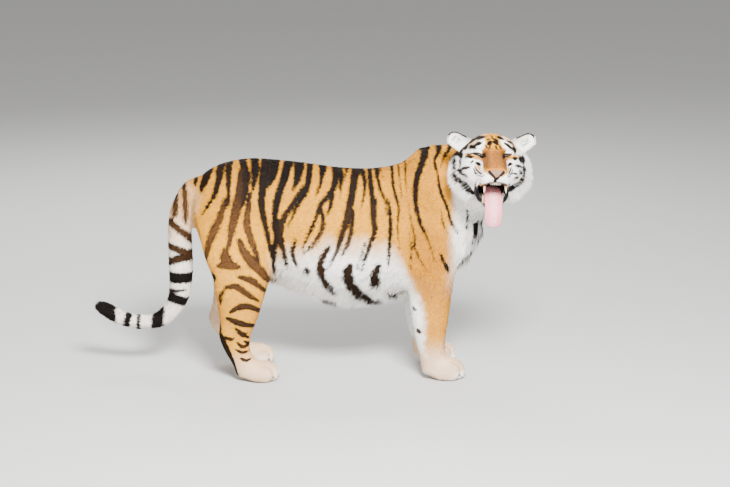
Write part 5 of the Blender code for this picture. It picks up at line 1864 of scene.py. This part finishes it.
def make_whiskers():
    lofts = []
    least, more, chance = WHISKER_LONG
    for side in (-1, 1):
        for k in range(WHISKERS):
            spot, row = divmod(k, WHISKER_ROWS)
            start = WHISKER_START + WHISKER_NEXT * spot + WHISKER_LOWER * row
            long = least + more * spot + chance * random.random()
            way = unit(np.array((1.0, -0.30 - 0.22 * spot, 0.10 - 0.24 * row + 0.1 * random.random())))
            rings = []
            for t in np.linspace(0, 1, WHISKER_RINGS):
                centre = start + way * long * t + WHISKER_SAG * long * t * t
                size = WHISKER_THICK * (1 - WHISKER_THIN_TIP * t)
                angles = np.linspace(0, 2 * math.pi, WHISKER_RING_POINTS, endpoint=False)
                ring = centre + size * np.stack([0 * angles, np.cos(angles), np.sin(angles)], 1)
                rings.append([Vector(from_head(p * (side, 1, 1))) for p in ring])
            lofts.append(rings)
    finish_piece("whiskers", join_lofts("whiskers", lofts), "whisker hair")


def make_claws():
    lofts = []
    for foot in FEET:
        low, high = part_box(foot)
        for across, back in zip(TOES, TOE_SET_BACK):
            start = np.array((high.x - back - CLAW_BACK, (low.y + high.y) / 2 + across, CLAW_UP))
            lofts.append(spike(to_head(start), to_head(start + CLAW_WAY), CLAW_RADIUS, CLAW_BEND, 8, 10))
    finish_piece("claws", join_lofts("claws", lofts), "claw horn")


def make_small_materials():
    n, shader = new_material("nose leather", 0.60, 0.15)
    tone = n.blend(n.noise(90.0), (0.17, 0.075, 0.045, 1), (0.30, 0.16, 0.105, 1))
    n.link(n.blend(n.amount("dark"), tone, (0.010, 0.008, 0.008, 1)), shader["Base Color"])
    n.link(n.bump(n.cells(620.0), 0.35, 0.0008), shader["Normal"])

    n, shader = new_material("tongue", 0.55, 0.18)
    sides = n.ramp(n.amount("across"), 0.05, 0.70)
    tone = n.blend(sides, (0.80, 0.40, 0.41, 1), (0.70, 0.22, 0.25, 1))
    mottling = n.ramp(n.noise(90.0, 4.0, 0.7), 0.35, 0.70, 0.0, 0.65)
    n.link(n.blend(mottling, tone, (0.60, 0.19, 0.22, 1)), shader["Base Color"])
    n.link(n.bump(n.cells(480.0), 0.30, 0.0008), shader["Normal"])

    n, shader = new_material("tooth ivory", 0.28, 0.5)
    stain = n.math("MULTIPLY", n.amount("stain"), n.ramp(n.noise(70.0), 0.25, 0.55, 0.45, 1.0))
    n.link(n.blend(stain, (0.74, 0.66, 0.48, 1), (0.50, 0.24, 0.06, 1)), shader["Base Color"])

    n, shader = new_material("eye", 0.22, 0.5)
    gaze = n.amount("gaze")
    streak = n.about_zero(n.noise(260.0, 2.0), 0.5)
    outer = n.math("ADD", n.ramp(gaze, 0.22, 0.60), streak, clamp=True)
    iris = n.blend(outer, (0.34, 0.22, 0.055, 1), (0.17, 0.085, 0.020, 1))
    ring = n.blend(n.ramp(gaze, 0.58, 0.68), iris, (0.02, 0.012, 0.006, 1))
    white = n.blend(n.ramp(gaze, 0.80, 0.95), ring, (0.34, 0.22, 0.17, 1))
    n.link(n.blend(n.ramp(gaze, 0.25, 0.20), white, (0.004, 0.004, 0.004, 1)), shader["Base Color"])
    shader["Coat Weight"].default_value = 1.0
    shader["Coat Roughness"].default_value = 0.03

    for name, rough, colour, other, scale in (
        ("whisker hair", 0.4, (0.85, 0.84, 0.80, 1), (0.75, 0.73, 0.68, 1), 40.0),
        ("claw horn", 0.35, (0.24, 0.19, 0.14, 1), (0.07, 0.05, 0.04, 1), 120.0),
    ):
        n, shader = new_material(name, rough, 0.4)
        n.link(n.blend(n.noise(scale, 2.0), colour, other), shader["Base Color"])


# ---------------------------------------------------------------- putting it together
def join_ears(skin, shares, charts):
    """Add both ears to the skin's mesh; returns the shares and charts with theirs added."""
    build = bmesh.new()
    build.from_mesh(skin.data)
    ears = []
    for side, name in ((1, "ear_left"), (-1, "ear_right")):
        mesh, places = ear_mesh(side)
        build.from_mesh(mesh)
        bpy.data.meshes.remove(mesh)
        own = np.zeros((len(places), len(REGION_NAMES)))
        own[:, REGION_NAMES.index("ear")] = 1.0
        shares = np.vstack([shares, own])
        charts = np.concatenate([charts, np.full(len(places), CHART_NAMES.index(name))])
        ears.append(places)
    build.to_mesh(skin.data)
    build.free()
    return shares, charts, np.vstack(ears)


def paint_ears(mesh, at, places):
    """White hair within the ears, greyer in the middle of the cup, partly the hair's own grey and partly
    painted shade in the hollow, and a dark spot low down; black behind, with a white spot.
    """
    marks, finish = read(mesh, "marks"), read(mesh, "finish")
    own = slice(len(marks) - len(places), None)
    t, c, front = places.T
    u, ahead, v = at.local[own].T
    back = smoothstep(-0.15, -0.45, front)
    spot = np.hypot((t - 0.62) * 1.5, c - 0.1) - 0.24
    dark_low = np.hypot((t - 0.52) * 1.6, c * 0.9 + 0.25) - 0.13
    stripe = np.where(back > 0.5, -0.030 * spot, 0.020 * dark_low + 0.0008)
    upper = c * at.head_side[own]
    rim = np.minimum((0.985 - t) * 0.08 + 0.004 * (upper < 0), (0.93 - upper) * 0.03 + 0.02 * (t < 0.30))
    # Grey inside the ear: partly the hair's own grey and partly painted shade, darkest in the middle of the
    # hollow cup and lighter towards its edges, root and tip
    grey = 0.0001 + 0.004 * smoothstep(0.35, 0.75, np.abs(c)) + 0.003 * waves(at.points[own], 0.012, 17)
    grey += 0.004 * (smoothstep(0.40, 0.25, t) + smoothstep(0.75, 0.92, t))
    stripe = np.where(back > 0.5, stripe, np.minimum(np.minimum(stripe, rim), np.maximum(grey, 0.0001)))
    marks[own] = np.stack([stripe, 0 * t + 0.15, 0 * t + 0.08 + 0.3 * (back > 0.5)], axis=1)
    finish[own] = np.stack([0 * t + 0.2, 0 * t, 0 * t], axis=1)
    store(mesh, "marks", marks)
    store(mesh, "finish", finish)


skin, shares, muzzle = make_skin()
charts = nearest_label(points_of(skin.data), chart_of)
shares, charts, ear_places = join_ears(skin, shares, charts)
pairs = edge_pairs(skin.data)
at_skin = Places(points_of(skin.data), normals_of(skin.data), shares)
at_skin.chart = charts
paint(skin.data, at_skin, pairs)
paint_ears(skin.data, at_skin, ear_places)
make_coat_materials()
make_small_materials()
make_coat(skin, at_skin, pairs)
make_nose(muzzle)
make_tongue()
make_teeth()
make_eyes()
make_whiskers()
make_claws()
skin.data.materials.append(material("striped skin"))
smooth_shade(skin.data)
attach(skin, "root")
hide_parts(*FLESH, "ear_left", "ear_right")
make_stage()
